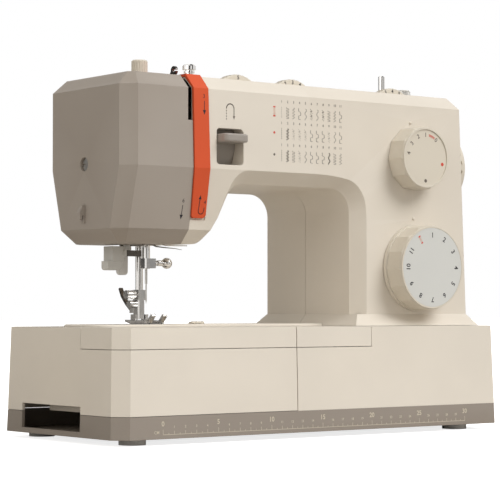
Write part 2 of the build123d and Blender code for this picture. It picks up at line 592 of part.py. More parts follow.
trim_band = outline_y(trim_outline(0.0), (-100.0, 4.2))
take_up_slot = lump((-116.8, -112.0), (-100.0, -16.0), (240.0, 300.0))
recess_x = (-90.3, -64.8)
recess_z = (208.0, 235.5)
with BuildPart() as recess:
    block(recess_x, (-100.0, -30.0), recess_z)
    fillet(recess.edges().filter_by(Axis.Y), 3.0)


def top_and_bars(mode=Mode.SUBTRACT):
    """Openings round the presser bar, needle bar, lifter and threader."""
    rod_z(NEEDLE_X, PRESSER_Y, (ARM_TOP - OPEN / 3, ARM_TOP + OPEN), 7.4, mode)
    block((-120.5, -108.0), (-9.0, 12.0), (HEAD_BOTTOM - 5, HEAD_BOTTOM + 2.7), mode)
    block((-128.0, -112.4), (13.0, 46.0), (HEAD_BOTTOM - 8, HEAD_BOTTOM + 12), mode)
    rod_z(-131.3, PRESSER_Y, (HEAD_BOTTOM - 5, HEAD_BOTTOM + 6), 2.4, mode)


with BuildPart() as face_cover:
    add(casing & left_of_trim)
    add(take_up_slot, mode=Mode.SUBTRACT)
    rod_x((HEAD_X0 + 1.0, HEAD_X0 + 8.0), -3.3, 207.4, 7.5)
    rod_x((HEAD_X0 - 1.0, HEAD_X0 + 5.0), -3.3, 207.4, 5.3, Mode.SUBTRACT)
    rod_x((HEAD_X0 - 1.0, HEAD_X0 + 9.0), -3.3, 207.4, 2.1, Mode.SUBTRACT)
    top_and_bars()
face_cover.part.label = "face_cover"

with BuildPart() as face_screw:
    rod_x((HEAD_X0 + 1.8, HEAD_X0 + 4.9), -3.3, 207.4, 4.7)
    rod_x((HEAD_X0 + 4.0, HEAD_X0 + 15.0), -3.3, 207.4, 2.0)
    block((HEAD_X0, HEAD_X0 + 2.8), (-9.0, 3.0), (206.8, 208.0), Mode.SUBTRACT)
face_screw.part.label = "face_screw"

with BuildPart() as thread_cutter:
    with BuildSketch(Plane.XZ.offset(1.0)):
        with BuildLine():
            Polyline((HEAD_X0 - 0.05, 163.0), (HEAD_X0 - 0.05, 177.0), (HEAD_X0 - 2.5, 176.0),
                     (HEAD_X0 - 5.0, 171.0), (HEAD_X0 - 4.6, 165.5), (HEAD_X0 - 3.0, 165.5),
                     (HEAD_X0 - 2.6, 169.0), (HEAD_X0 - 1.4, 169.0), (HEAD_X0 - 1.0, 163.0), close=True)
        make_face()
    extrude(amount=4.0)
thread_cutter.part.label = "thread_cutter"

with BuildPart() as thread_trim:
    add((body_solid(-1.3) - body_solid(1.0)) & trim_band)
    block((-116.0, -90.0), EVERY_Y, (140.0, 167.2), Mode.SUBTRACT)
    for corner_x in TRIM_FOOT:
        with Locations(Location((corner_x, ARM_Y0, 167.2), (0, 45, 0))):
            Box(3.0, 60.0, 3.0, mode=Mode.SUBTRACT)
    rod_z(NEEDLE_X, PRESSER_Y, (ARM_TOP - OPEN / 3, ARM_TOP + OPEN), 7.4, Mode.SUBTRACT)
thread_trim.part.label = "thread_trim"

shell_whole = casing - left_of_trim
shell_whole -= outline_y(trim_outline(2.0), (-100.0, 4.3)) & (body_solid(-2.0) - body_solid(1.1))

with BuildPart() as skirt:
    for step_z, out in ((SKIRT_TOP, 0.0), (BED_TOP + 0.2, SKIRT_OUT)):
        right = min(COLUMN_FOOT_X1 + out, 174.5)
        with BuildSketch(Plane.XY.offset(step_z)):
            with BuildLine():
                Polyline((COLUMN_X0 - out, ARM_Y0 - out), (right, ARM_Y0 - out), (right, ARM_Y1 + out),
                         (COLUMN_X0 - out, ARM_Y1 + out), close=True)
            make_face()
    loft(ruled=True)
    block((COLUMN_X0 + WALL, COLUMN_FOOT_X1 - WALL), (ARM_Y0 + WALL, ARM_Y1 - WALL), EVERY_Z,
          Mode.SUBTRACT)

with BuildPart() as front_shell:
    add(shell_whole & lump(EVERY_X, (-100.0, SPLIT_Y - SEAM / 2), (BED_TOP + 0.2, 400.0)))
    add(skirt.part & lump(EVERY_X, (-100.0, SPLIT_Y - SEAM / 2), EVERY_Z))
    top_and_bars()
    add(take_up_slot, mode=Mode.SUBTRACT)
    add(recess.part & lump(EVERY_X, (-100.0, -50.0), EVERY_Z), mode=Mode.SUBTRACT)
    for wheel_name, wheel_x in THUMB_WHEELS:
        block((wheel_x - 19.4, wheel_x + 19.4), (WHEEL_Y[0] - 0.6, WHEEL_Y[1] + 0.6),
              (ARM_TOP - 8, ARM_TOP + 8), Mode.SUBTRACT)
    for dial_x, dial_z in (LENGTH_DIAL, PATTERN_DIAL):
        rod_y(dial_x, (ARM_Y0 - 1, ARM_Y0 + 5), dial_z, 4.0 + RUNNING, Mode.SUBTRACT)
    rod_z(-91.5, -26.5, (ARM_TOP - 5, ARM_TOP + 5), 3.05, Mode.SUBTRACT)
    rod_x((155.0, 175.0), AXIS_Y, SHAFT_Z, SHAFT_R + 1.0, Mode.SUBTRACT)
    block((130.0, 145.0), (SPINDLE[1] - 4, SPINDLE[1] + 4), (ARM_TOP - 8, ARM_TOP + 8), Mode.SUBTRACT)
    for bump_x, bump_z in ((106.2, 250.4), (109.3, 172.1)):
        with Locations((bump_x, ARM_Y0, bump_z)):
            Sphere(1.3)
    for wheel_name, wheel_x in THUMB_WHEELS:
        for plate_y in (-45.2, -23.0):
            block((wheel_x - 6, wheel_x + 6), (plate_y, plate_y + 2.4),
                  (WHEEL_Z - 5, ARM_TOP - WALL / 2))
            rod_y(wheel_x, (plate_y - 1, plate_y + 4), WHEEL_Z, 2.0 + RUNNING, Mode.SUBTRACT)
front_shell.part.label = "front_shell"

with BuildPart() as rear_shell:
    add(shell_whole & lump(EVERY_X, (SPLIT_Y + SEAM / 2, 100.0), (BED_TOP + 0.2, 400.0)))
    add(skirt.part & lump(EVERY_X, (SPLIT_Y + SEAM / 2, 100.0), EVERY_Z))
    top_and_bars()
    rod_x((155.0, 175.0), AXIS_Y, SHAFT_Z, SHAFT_R + 1.0, Mode.SUBTRACT)
    block((130.0, 145.0), (SPINDLE[1] - 4, SPINDLE[1] + 4), (ARM_TOP - 8, ARM_TOP + 8), Mode.SUBTRACT)
    rod_z(SPOOL_PIN[0], SPOOL_PIN[1], (ARM_TOP - 5, ARM_TOP + 5), BAR_R + RUNNING, Mode.SUBTRACT)
    for grille in range(7):
        slot_x = 75.0 + 10 * grille
        block((slot_x, slot_x + 4), (ARM_Y1 - 5, ARM_Y1 + 5), (105.0, 130.0), Mode.SUBTRACT)
rear_shell.part.label = "rear_shell"

# ---------------------------------------------------------------- reverse lever
with BuildPart() as lever_pocket:
    pocket_y = ARM_Y0 + WALL + 0.1
    block((recess_x[0] - 1.6, recess_x[1] + 1.6), (pocket_y, -40.0),
          (recess_z[0] - 1.6, recess_z[1] + 1.6))
    add(recess.part, mode=Mode.SUBTRACT)
    for cheek_x in (recess_x[0] - 3.8, recess_x[1] + 1.6):
        block((cheek_x, cheek_x + 2.2), (pocket_y, LEVER_PIVOT_Y + 2), (LEVER_Z - 4, LEVER_Z + 4))
    rod_x((recess_x[0], recess_x[1]), LEVER_PIVOT_Y, LEVER_Z, LEVER_ARC + 0.4, Mode.SUBTRACT)
    rod_x((recess_x[0] - 1.7, recess_x[1] + 1.7), LEVER_PIVOT_Y, LEVER_Z, LEVER_ARC + 0.4, Mode.SUBTRACT)
    rod_x((recess_x[0] - 3.8, recess_x[1] + 3.8), LEVER_PIVOT_Y, LEVER_Z, 2.0)
lever_pocket.part.label = "lever_pocket"

with BuildPart() as reverse_lever:
    with BuildSketch(Plane.YZ.offset(recess_x[0] - 1.3)):
        with BuildLine():
            outer = CenterArc((LEVER_PIVOT_Y, LEVER_Z), LEVER_ARC, 152.0, 66.0)
            inner = CenterArc((LEVER_PIVOT_Y, LEVER_Z), LEVER_ARC - 1.6, 152.0, 66.0)
            Line(outer @ 0, inner @ 0)
            Line(outer @ 1, inner @ 1)
        make_face()
    extrude(amount=recess_x[1] - recess_x[0] + 2.6)
    block((-89.0, -66.2), (-70.5, LEVER_PIVOT_Y - LEVER_ARC + 1.0), (LEVER_Z - 3.2, LEVER_Z + 3.2))
    fillet(reverse_lever.edges().filter_by(Axis.Z).group_by(Axis.Y)[0], 4.0)
    fillet(reverse_lever.edges().group_by(Axis.Y)[0], 1.6)
    block((-80.0, -74.0), (LEVER_PIVOT_Y - LEVER_ARC + 0.8, LEVER_PIVOT_Y), (LEVER_Z - 3, LEVER_Z + 3))
    rod_x((-81.0, -73.0), LEVER_PIVOT_Y, LEVER_Z, 4.0)
    rod_x((-82.0, -72.0), LEVER_PIVOT_Y, LEVER_Z, 2.0 + RUNNING, Mode.SUBTRACT)
reverse_lever.part.label = "reverse_lever"

# ---------------------------------------------------------------- dials
with BuildPart() as length_dial:
    with BuildSketch(Plane.XZ.offset(-ARM_Y0 + 0.3)):
        with Locations(LENGTH_DIAL):
            RegularPolygon(26.1, 11, rotation=182.4)
    extrude(amount=16.4, taper=2.0)
    chamfer(length_dial.faces().sort_by(Axis.Y)[0].edges(), 1.2)
    rim_y = length_dial.part.bounding_box().min.Y
    rod_y(LENGTH_DIAL[0], (rim_y - RIM, rim_y + 1), LENGTH_DIAL[1], 24.4)
    rod_y(LENGTH_DIAL[0], (rim_y - RIM - 1, rim_y), LENGTH_DIAL[1], 22.8, Mode.SUBTRACT)
    rod_y(LENGTH_DIAL[0], (ARM_Y0 - 1, ARM_Y0 + 10), LENGTH_DIAL[1], 4.0)
length_dial.part.label = "length_dial"

with BuildPart() as pattern_dial:
    rod_y(PATTERN_DIAL[0], (ARM_Y0 - 3.8, ARM_Y0 - 0.3), PATTERN_DIAL[1], 35.0)
    with BuildSketch(Plane.XZ.offset(-ARM_Y0 + 3.8)):
        with Locations(PATTERN_DIAL):
            RegularPolygon(34.4, 15, rotation=183.2)
    extrude(amount=16.2, taper=1.0)
    chamfer(pattern_dial.faces().sort_by(Axis.Y)[0].edges(), 1.0)
    rim_y = pattern_dial.part.bounding_box().min.Y
    rod_y(PATTERN_DIAL[0], (rim_y - RIM, rim_y + 1), PATTERN_DIAL[1], 33.2)
    rod_y(PATTERN_DIAL[0], (rim_y - RIM - 1, rim_y), PATTERN_DIAL[1], 31.9, Mode.SUBTRACT)
    rod_y(PATTERN_DIAL[0], (ARM_Y0 - 1, ARM_Y0 + 10), PATTERN_DIAL[1], 4.0)
pattern_dial.part.label = "pattern_dial"

with BuildPart() as pattern_disc:
    with BuildSketch(Plane.XZ.offset(-ARM_Y0 + 20.0)):
        with Locations(PATTERN_DIAL):
            Circle(31.85)
    extrude(amount=RIM - 0.1)
pattern_disc.part.label = "pattern_disc"

thumb_wheels = {}
for wheel_name, wheel_x in THUMB_WHEELS:
    with BuildPart() as wheel:
        rod_y(wheel_x, WHEEL_Y, WHEEL_Z, WHEEL_R)
        chamfer(wheel.edges().filter_by(GeomType.CIRCLE), 0.8)
        with Locations(Location((wheel_x, sum(WHEEL_Y) / 2, WHEEL_Z), (90, 0, 0))):
            with PolarLocations(WHEEL_R + 0.3, 40):
                Cylinder(0.9, 10.0, mode=Mode.SUBTRACT)
        rod_y(wheel_x, (-46.0, -19.0), WHEEL_Z, 2.0)
    wheel.part.label = wheel_name
    thumb_wheels[wheel_name] = wheel.part

# ---------------------------------------------------------------- top fittings
with BuildPart() as pressure_knob:
    rod_z(NEEDLE_X, PRESSER_Y, (ARM_TOP + 0.6, ARM_TOP + 3.0), 6.9)
    rod_z(NEEDLE_X, PRESSER_Y, (ARM_TOP - 22.0, ARM_TOP + 17.0), 6.3)
    chamfer(pressure_knob.faces().sort_by(Axis.Z)[-1].edges(), 1.0)
    with Locations((NEEDLE_X, PRESSER_Y, ARM_TOP + 10)):
        with PolarLocations(6.5, 20):
            Cylinder(0.5, 13.0, mode=Mode.SUBTRACT)
    rod_z(NEEDLE_X, PRESSER_Y, (ARM_TOP - OPEN, ARM_TOP - 2), BAR_R + 0.4, Mode.SUBTRACT)
pressure_knob.part.label = "pressure_knob"

with BuildPart() as thread_stud:
    rod_z(-91.5, -26.5, (ARM_TOP - 6, ARM_TOP + 10.0), 3.0)
    rod_z(-91.5, -26.5, (ARM_TOP + 8.0, ARM_TOP + 12.0), 5.2)
    chamfer(thread_stud.faces().sort_by(Axis.Z)[-1].edges(), 1.2)
    rod_z(-91.5, -26.5, (ARM_TOP + 5.4, ARM_TOP + 6.8), 4.3)
    rod_z(-91.5, -26.5, (ARM_TOP + 0.1, ARM_TOP + 1.6), 5.0)
thread_stud.part.label = "thread_stud"

with BuildPart() as spool_pin:
    rod_z(SPOOL_PIN[0], SPOOL_PIN[1], (ARM_TOP - 60.0, ARM_TOP + 2.0), BAR_R)
    rod_z(SPOOL_PIN[0], SPOOL_PIN[1], (ARM_TOP - 62.0, ARM_TOP - 59.0), 4.5)
    chamfer(spool_pin.faces().sort_by(Axis.Z)[-1].edges(), 1.0)
spool_pin.part.label = "spool_pin"

with BuildPart() as winder_carriage:
    block((122.0, 150.0), (-1.0, 16.0), (262.0, 266.0))
    rod_z(SPINDLE[0], SPINDLE[1], (260.0, 270.0), 3.6 + RUNNING, Mode.SUBTRACT)
winder_carriage.part.label = "winder_carriage"

with BuildPart() as winder_spindle:
    rod_z(SPINDLE[0], SPINDLE[1], (252.0, ARM_TOP + 3.0), 3.6)
    rod_z(SPINDLE[0], SPINDLE[1], (ARM_TOP + 3.0, 297.0), 2.8)
    rod_z(SPINDLE[0], SPINDLE[1], (252.0, 258.0), 11.0)
    rod_z(SPINDLE[0], SPINDLE[1], (266.3, 269.0), 5.0)
    rod_z(SPINDLE[0], SPINDLE[1], (ARM_TOP + 2.0, ARM_TOP + 4.0), 5.0)
    chamfer(winder_spindle.faces().sort_by(Axis.Z)[-1].edges(), 0.8)
winder_spindle.part.label = "winder_spindle"

with BuildPart() as winder_stop:
    rod_z(145.0, -7.5, (ARM_TOP + 0.1, ARM_TOP + 9.5), 7.0)
    chamfer(winder_stop.faces().sort_by(Axis.Z)[-1].edges(), 1.0)
winder_stop.part.label = "winder_stop"

# ---------------------------------------------------------------- needle and presser
with BuildPart() as needle_bar:
    rod_z(NEEDLE_X, AXIS_Y, (129.5, 243.0), BAR_R)
    rod_z(NEEDLE_X, AXIS_Y, (189.8, 197.8), 4.2)
needle_bar.part.label = "needle_bar"

with BuildPart() as needle_clamp:
    block((-118.1, -107.5), (-6.5, 1.2), (130.0, 137.5))
    chamfer(needle_clamp.edges().filter_by(Axis.Z), 1.0)
    rod_z(NEEDLE_X, AXIS_Y, (120.0, 140.0), BAR_R + 0.02, Mode.SUBTRACT)
    rod_x((-112.0, -106.0), AXIS_Y, 134.0, 1.52, Mode.SUBTRACT)
needle_clamp.part.label = "needle_clamp"

with BuildPart() as clamp_screw:
    rod_x((-111.5, -99.0), AXIS_Y, 134.0, 1.5)
    rod_x((-104.5, -100.0), AXIS_Y, 134.0, 2.2)
    with Locations((-95.5, AXIS_Y, 134.0)):
        Sphere(4.25)
    with Locations(Location((-95.5, AXIS_Y, 134.0), (0, 90, 0))):
        with PolarLocations(4.5, 14):
            Cylinder(0.55, 9.0, mode=Mode.SUBTRACT)
clamp_screw.part.label = "clamp_screw"

with BuildPart() as needle:
    rod_z(NEEDLE_X, AXIS_Y, (118.0, 129.48), 1.0)
    rod_z(NEEDLE_X, AXIS_Y, (105.5, 118.0), 0.55)
    with Locations((NEEDLE_X, AXIS_Y, 104.0)):
        Cone(0.05, 0.55, 3.0)
    rod_y(NEEDLE_X, (AXIS_Y - 2, AXIS_Y + 2), 107.2, 0.2, Mode.SUBTRACT)
needle.part.label = "needle"

with BuildPart() as presser_bar:
    rod_z(NEEDLE_X, PRESSER_Y, (98.0, 246.0), BAR_R)
    rod_z(NEEDLE_X, PRESSER_Y, (208.2, 212.0), 4.2)
    rod_z(NEEDLE_X, PRESSER_Y, (158.5, 162.0), 4.2)
presser_bar.part.label = "presser_bar"

with BuildPart() as presser_spring:
    with BuildLine() as coil:
        Helix(pitch=4.0, height=38.5, radius=3.75, center=(NEEDLE_X, PRESSER_Y, 212.6))
    with BuildSketch(Plane(origin=coil.line @ 0, z_dir=coil.line % 0)):
        Circle(0.4)
    sweep(path=coil.line, is_frenet=True)
presser_spring.part.label = "presser_spring"

with BuildPart() as foot_holder:
    block((-118.0, -111.6), (3.3, 11.2), (90.9, 106.5))
    chamfer(foot_holder.edges().filter_by(Axis.Z), 1.0)
    block((-118.0, -110.8), (3.3, 11.2), (105.5, 113.4))
    rod_z(NEEDLE_X, PRESSER_Y, (98.0, 115.0), BAR_R + 0.02, Mode.SUBTRACT)
    rod_x((-124.5, -118.0), PRESSER_Y, 102.4, 2.9)
    rod_x((-120.0, -110.0), FOOT_PIVOT[0], FOOT_PIVOT[1], 1.25, Mode.SUBTRACT)
    for ear_x in (-118.0, -112.7):
        block((ear_x, ear_x + 1.1), (10.8, TOE_PIVOT[0] + 2), (TOE_PIVOT[1] - 2, TOE_PIVOT[1] + 2))
    rod_x((-118.0, -111.6), TOE_PIVOT[0], TOE_PIVOT[1], 0.9)
foot_holder.part.label = "foot_holder"

with BuildPart() as presser_screw:
    rod_x((-127.3, -119.5), PRESSER_Y, 109.6, 3.5)
    rod_x((-120.0, -118.02), PRESSER_Y, 109.6, 1.8)
    with Locations(Location((-123.4, PRESSER_Y, 109.6), (0, 90, 0))):
        with PolarLocations(3.7, 14):
            Cylinder(0.45, 9.0, mode=Mode.SUBTRACT)
presser_screw.part.label = "presser_screw"

with BuildPart() as foot_release_lever:
    with BuildSketch(Plane.YZ.offset(-116.4)):
        with BuildLine():
            Polyline((13.0, 96.0), (18.0, 97.6), (24.0, 102.0), (30.0, 108.0), (33.5, 114.5),
                     (32.0, 115.2), (28.4, 109.2), (22.8, 103.6), (17.2, 99.6), (13.0, 99.0), close=True)
        make_face()
    extrude(amount=3.2)
    rod_x((-116.4, -113.2), TOE_PIVOT[0], TOE_PIVOT[1], 1.9)
    rod_x((-118.0, -112.0), TOE_PIVOT[0], TOE_PIVOT[1], 0.9 + RUNNING, Mode.SUBTRACT)
foot_release_lever.part.label = "foot_release_lever"

with BuildPart() as presser_foot:
    with BuildSketch(Plane.YZ.offset(-124.8)):
        with BuildLine():
            Polyline((-20.8, 93.4), (-15.5, 87.9), (-14.0, 87.3), (4.5, 87.3), (12.0, 88.9),
                     (12.0, 90.3), (-13.0, 89.7), (-14.6, 90.2), (-19.8, 95.2), close=True)
        make_face()
    extrude(amount=20.0)
    block((-118.3, -111.3), (-30.0, -0.5), (80.0, 100.0), Mode.SUBTRACT)
    block((-107.5, -104.0), (-30.0, -12.0), (80.0, 100.0), Mode.SUBTRACT)
    block((-126.0, -122.0), (-30.0, -15.0), (80.0, 100.0), Mode.SUBTRACT)
    for lug_x in (-121.0, -111.2):
        block((lug_x, lug_x + 2.6), (FOOT_PIVOT[0] - 3, FOOT_PIVOT[0] + 3), (88.0, FOOT_PIVOT[1] + 2))
    rod_x((-121.0, -108.6), FOOT_PIVOT[0], FOOT_PIVOT[1], 1.2)
presser_foot.part.label = "presser_foot"

with BuildPart() as lifter_lever:
    rod_x((-121.6, -114.4), LIFTER_PIVOT[0], LIFTER_PIVOT[1], 3.5)
    block((-121.6, -114.4), (18.5, 21.5), (144.0, 152.0))
    block((-126.6, -117.6), (18.5, 21.5), (125.0, 145.5))
    fillet(lifter_lever.edges().filter_by(Axis.Y).group_by(Axis.Z)[0], 3.0)
    rod_x((-123.0, -113.0), LIFTER_PIVOT[0], LIFTER_PIVOT[1], 1.5 + RUNNING, Mode.SUBTRACT)
lifter_lever.part.label = "lifter_lever"

with BuildPart() as threader:
    rod_z(-131.3, PRESSER_Y, (139.0, 232.0), 1.6)
    block((-143.6, -132.4), (0.5, 13.0), (135.2, 146.6))
    block((-146.6, -134.0), (2.0, 11.5), (128.3, 135.3))
    fillet(threader.edges().filter_by(Axis.Y).group_by(Axis.Z)[0], 2.5)
    block((-134.0, -129.7), (-2.0, 9.0), (139.0, 143.6))
    block((-130.0, -118.7), (-2.0, 2.4), (139.0, 143.6))
    block((-124.0, -118.6), (-1.0, 1.4), (138.0, 141.0), Mode.SUBTRACT)
threader.part.label = "threader"

with BuildPart() as take_up_lever:
    with BuildSketch(Plane.YZ.offset(NEEDLE_X - 0.8)):
        with Locations(TAKE_UP_PIVOT):
            Circle(4.8)
        with Locations(TAKE_UP_TIP):
            Circle(3.4)
        with BuildLine():
            Polyline((TAKE_UP_PIVOT[0] - 2.6, TAKE_UP_PIVOT[1] - 1.8),
                     (TAKE_UP_PIVOT[0] + 2.6, TAKE_UP_PIVOT[1] + 1.8),
                     (TAKE_UP_TIP[0] + 2.0, TAKE_UP_TIP[1] + 1.4),
                     (TAKE_UP_TIP[0] - 2.0, TAKE_UP_TIP[1] - 1.4), close=True)
        make_face()
        with Locations(TAKE_UP_TIP):
            Circle(1.4, mode=Mode.SUBTRACT)
            with Locations((-3.0, 0.0)):
                Rectangle(5.0, 1.0, mode=Mode.SUBTRACT)
    extrude(amount=2.0)
    rod_x((NEEDLE_X - 1.6, NEEDLE_X + 1.9), TAKE_UP_PIVOT[0], TAKE_UP_PIVOT[1], 4.8)
    rod_x((NEEDLE_X - 5, NEEDLE_X + 5), TAKE_UP_PIVOT[0], TAKE_UP_PIVOT[1], 2.0 + RUNNING, Mode.SUBTRACT)
take_up_lever.part.label = "take_up_lever"

# ---------------------------------------------------------------- files
for piece in (
    rubber_feet, base_tray, base_cover, bed_front_cover, power_inlet, power_switch,
    accessory_box, box_lid, free_arm, shuttle_door, needle_plate, feed_dog, drop_feed_slider,
    shuttle_race, shuttle_hook, bobbin_case, bobbin, lower_shaft, cast_frame, main_shaft,
    crank_disc, needle_rod, shuttle_rod, handwheel, motor_body, motor_rotor, motor_belt, face_cover,
    face_screw, thread_cutter, thread_trim, front_shell, rear_shell, lever_pocket,
    reverse_lever, length_dial, pattern_dial, pattern_disc, pressure_knob, thread_stud,
    spool_pin, winder_carriage, winder_spindle, winder_stop,
    needle_bar, needle_clamp, clamp_screw, needle, presser_bar, presser_spring, foot_holder,
    presser_screw, foot_release_lever, presser_foot, lifter_lever, threader, take_up_lever,
):
    export_step(piece.part, f"parts/{piece.part.label}.step")
for wheel_name, wheel_part in thumb_wheels.items():
    export_step(wheel_part, f"parts/{wheel_name}.step")
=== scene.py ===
"""Studio picture of the free-arm sewing machine: materials, printed marks and small fittings."""
import math

import bpy
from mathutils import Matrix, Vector


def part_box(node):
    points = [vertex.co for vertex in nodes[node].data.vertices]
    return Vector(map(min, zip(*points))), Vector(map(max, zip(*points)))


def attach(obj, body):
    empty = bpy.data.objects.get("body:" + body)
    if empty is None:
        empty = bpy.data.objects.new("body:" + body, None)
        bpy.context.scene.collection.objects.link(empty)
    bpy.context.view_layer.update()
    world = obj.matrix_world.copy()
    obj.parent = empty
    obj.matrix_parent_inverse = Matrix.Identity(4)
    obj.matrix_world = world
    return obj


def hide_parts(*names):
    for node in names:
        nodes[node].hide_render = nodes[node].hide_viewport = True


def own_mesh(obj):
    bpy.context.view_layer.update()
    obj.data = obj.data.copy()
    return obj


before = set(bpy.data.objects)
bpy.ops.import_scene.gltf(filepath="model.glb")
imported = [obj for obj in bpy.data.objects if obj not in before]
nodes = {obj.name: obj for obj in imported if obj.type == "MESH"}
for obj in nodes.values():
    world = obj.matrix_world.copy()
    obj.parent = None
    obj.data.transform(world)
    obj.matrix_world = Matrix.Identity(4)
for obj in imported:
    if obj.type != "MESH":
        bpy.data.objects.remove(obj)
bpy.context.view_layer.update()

MM = 0.001


# ---------------------------------------------------------------- materials
def new_material(name):
    mat = bpy.data.materials.new(name)
    mat.use_nodes = True
    tree = mat.node_tree
    shader = tree.nodes["Principled BSDF"]
    return mat, tree, shader


def add_node(tree, kind, **settings):
    node = tree.nodes.new(kind)
    for key, value in settings.items():
        setattr(node, key, value)
    return node


def object_noise(tree, scale, detail=4.0):
    """Noise in the object's own coordinates, so that it stays on the piece."""
    where = add_node(tree, "ShaderNodeTexCoord")
    noise = add_node(tree, "ShaderNodeTexNoise")
    noise.inputs["Scale"].default_value = scale
    noise.inputs["Detail"].default_value = detail
    tree.links.new(where.outputs["Object"], noise.inputs["Vector"])
    return noise


def ramp_between(tree, source, low, high):
    """Colour ramp from one colour to another, driven by a noise."""
    ramp = add_node(tree, "ShaderNodeValToRGB")
    ramp.color_ramp.elements[0].position = 0.3
    ramp.color_ramp.elements[0].color = (*low, 1)
    ramp.color_ramp.elements[1].position = 0.7
    ramp.color_ramp.elements[1].color = (*high, 1)
    tree.links.new(source, ramp.inputs["Fac"])
    return ramp


def shade(color, factor):
    return tuple(min(1.0, c * factor) for c in color)


def plastic(name, color, rough=0.42, grain=2600.0, bump=0.012, vary=0.03, wear=0.05,
            gloss=0.38, soften=0.5):
    """Moulded plastic: soft mottling, a fine spark texture and slightly paler edges."""
    mat, tree, shader = new_material(name)
    cloud = object_noise(tree, 14.0, 3.0)
    base = ramp_between(tree, cloud.outputs["Fac"], shade(color, 1 - vary), shade(color, 1 + vary))
    geometry = add_node(tree, "ShaderNodeNewGeometry")
    edge = add_node(tree, "ShaderNodeValToRGB")
    edge.color_ramp.elements[0].position = 0.52
    edge.color_ramp.elements[0].color = (0, 0, 0, 1)
    edge.color_ramp.elements[1].position = 0.60
    edge.color_ramp.elements[1].color = (wear, wear, wear, 1)
    tree.links.new(geometry.outputs["Pointiness"], edge.inputs["Fac"])
    paler = add_node(tree, "ShaderNodeMix", data_type="RGBA", blend_type="SCREEN")
    paler.inputs["Factor"].default_value = 1.0
    tree.links.new(base.outputs["Color"], paler.inputs[6])
    tree.links.new(edge.outputs["Color"], paler.inputs[7])
    tree.links.new(paler.outputs[2], shader.inputs["Base Color"])
    fine = object_noise(tree, grain, 2.0)
    rough_map = add_node(tree, "ShaderNodeMapRange")
    rough_map.inputs["To Min"].default_value = rough - 0.05
    rough_map.inputs["To Max"].default_value = rough + 0.07
    tree.links.new(cloud.outputs["Fac"], rough_map.inputs["Value"])
    tree.links.new(rough_map.outputs["Result"], shader.inputs["Roughness"])
    relief = add_node(tree, "ShaderNodeBump")
    relief.inputs["Strength"].default_value = bump * 10
    relief.inputs["Distance"].default_value = 0.0001
    tree.links.new(fine.outputs["Fac"], relief.inputs["Height"])
    if soften:
        rounding = add_node(tree, "ShaderNodeBevel", samples=4)
        rounding.inputs["Radius"].default_value = soften * MM
        tree.links.new(rounding.outputs["Normal"], relief.inputs["Normal"])
    tree.links.new(relief.outputs["Normal"], shader.inputs["Normal"])
    shader.inputs["Specular IOR Level"].default_value = gloss
    return mat


def metal(name, color, rough=0.18, stretch=(1.0, 1.0, 40.0), vary=0.08, bump=0.03):
    """Metal with drawn or ground streaks along one direction and light smudges."""
    mat, tree, shader = new_material(name)
    where = add_node(tree, "ShaderNodeTexCoord")
    mapping = add_node(tree, "ShaderNodeMapping")
    mapping.inputs["Scale"].default_value = stretch
    streak = add_node(tree, "ShaderNodeTexNoise")
    streak.inputs["Scale"].default_value = 60.0
    streak.inputs["Detail"].default_value = 5.0
    tree.links.new(where.outputs["Object"], mapping.inputs["Vector"])
    tree.links.new(mapping.outputs["Vector"], streak.inputs["Vector"])
    base = ramp_between(tree, streak.outputs["Fac"], shade(color, 1 - vary), shade(color, 1 + vary))
    tree.links.new(base.outputs["Color"], shader.inputs["Base Color"])
    smudge = object_noise(tree, 90.0, 3.0)
    rough_map = add_node(tree, "ShaderNodeMapRange")
    rough_map.inputs["To Min"].default_value = max(0.03, rough - 0.06)
    rough_map.inputs["To Max"].default_value = rough + 0.10
    tree.links.new(smudge.outputs["Fac"], rough_map.inputs["Value"])
    tree.links.new(rough_map.outputs["Result"], shader.inputs["Roughness"])
    relief = add_node(tree, "ShaderNodeBump")
    relief.inputs["Strength"].default_value = bump
    relief.inputs["Distance"].default_value = 0.0002
    tree.links.new(streak.outputs["Fac"], relief.inputs["Height"])
    tree.links.new(relief.outputs["Normal"], shader.inputs["Normal"])
    shader.inputs["Metallic"].default_value = 1.0
    return mat


def split_along_x(mat, edge_x, color, rough):
    """Past an edge across the piece the material turns to dark bright metal."""
    tree = mat.node_tree
    shader = tree.nodes["Principled BSDF"]
    where = add_node(tree, "ShaderNodeTexCoord")
    axes = add_node(tree, "ShaderNodeSeparateXYZ")
    past = add_node(tree, "ShaderNodeMath", operation="GREATER_THAN")
    past.inputs[1].default_value = edge_x * MM
    tree.links.new(where.outputs["Object"], axes.inputs["Vector"])
    tree.links.new(axes.outputs["X"], past.inputs[0])
    second = add_node(tree, "ShaderNodeBsdfPrincipled")
    second.inputs["Metallic"].default_value = 1.0
    smudge = object_noise(tree, 90.0, 3.0)
    tone = ramp_between(tree, smudge.outputs["Fac"], shade(color, 0.85), shade(color, 1.15))
    tree.links.new(tone.outputs["Color"], second.inputs["Base Color"])
    second.inputs["Roughness"].default_value = rough
    either = add_node(tree, "ShaderNodeMixShader")
    tree.links.new(past.outputs["Value"], either.inputs["Fac"])
    tree.links.new(shader.outputs["BSDF"], either.inputs[1])
    tree.links.new(second.outputs["BSDF"], either.inputs[2])
    tree.links.new(either.outputs["Shader"], tree.nodes["Material Output"].inputs["Surface"])
    return mat


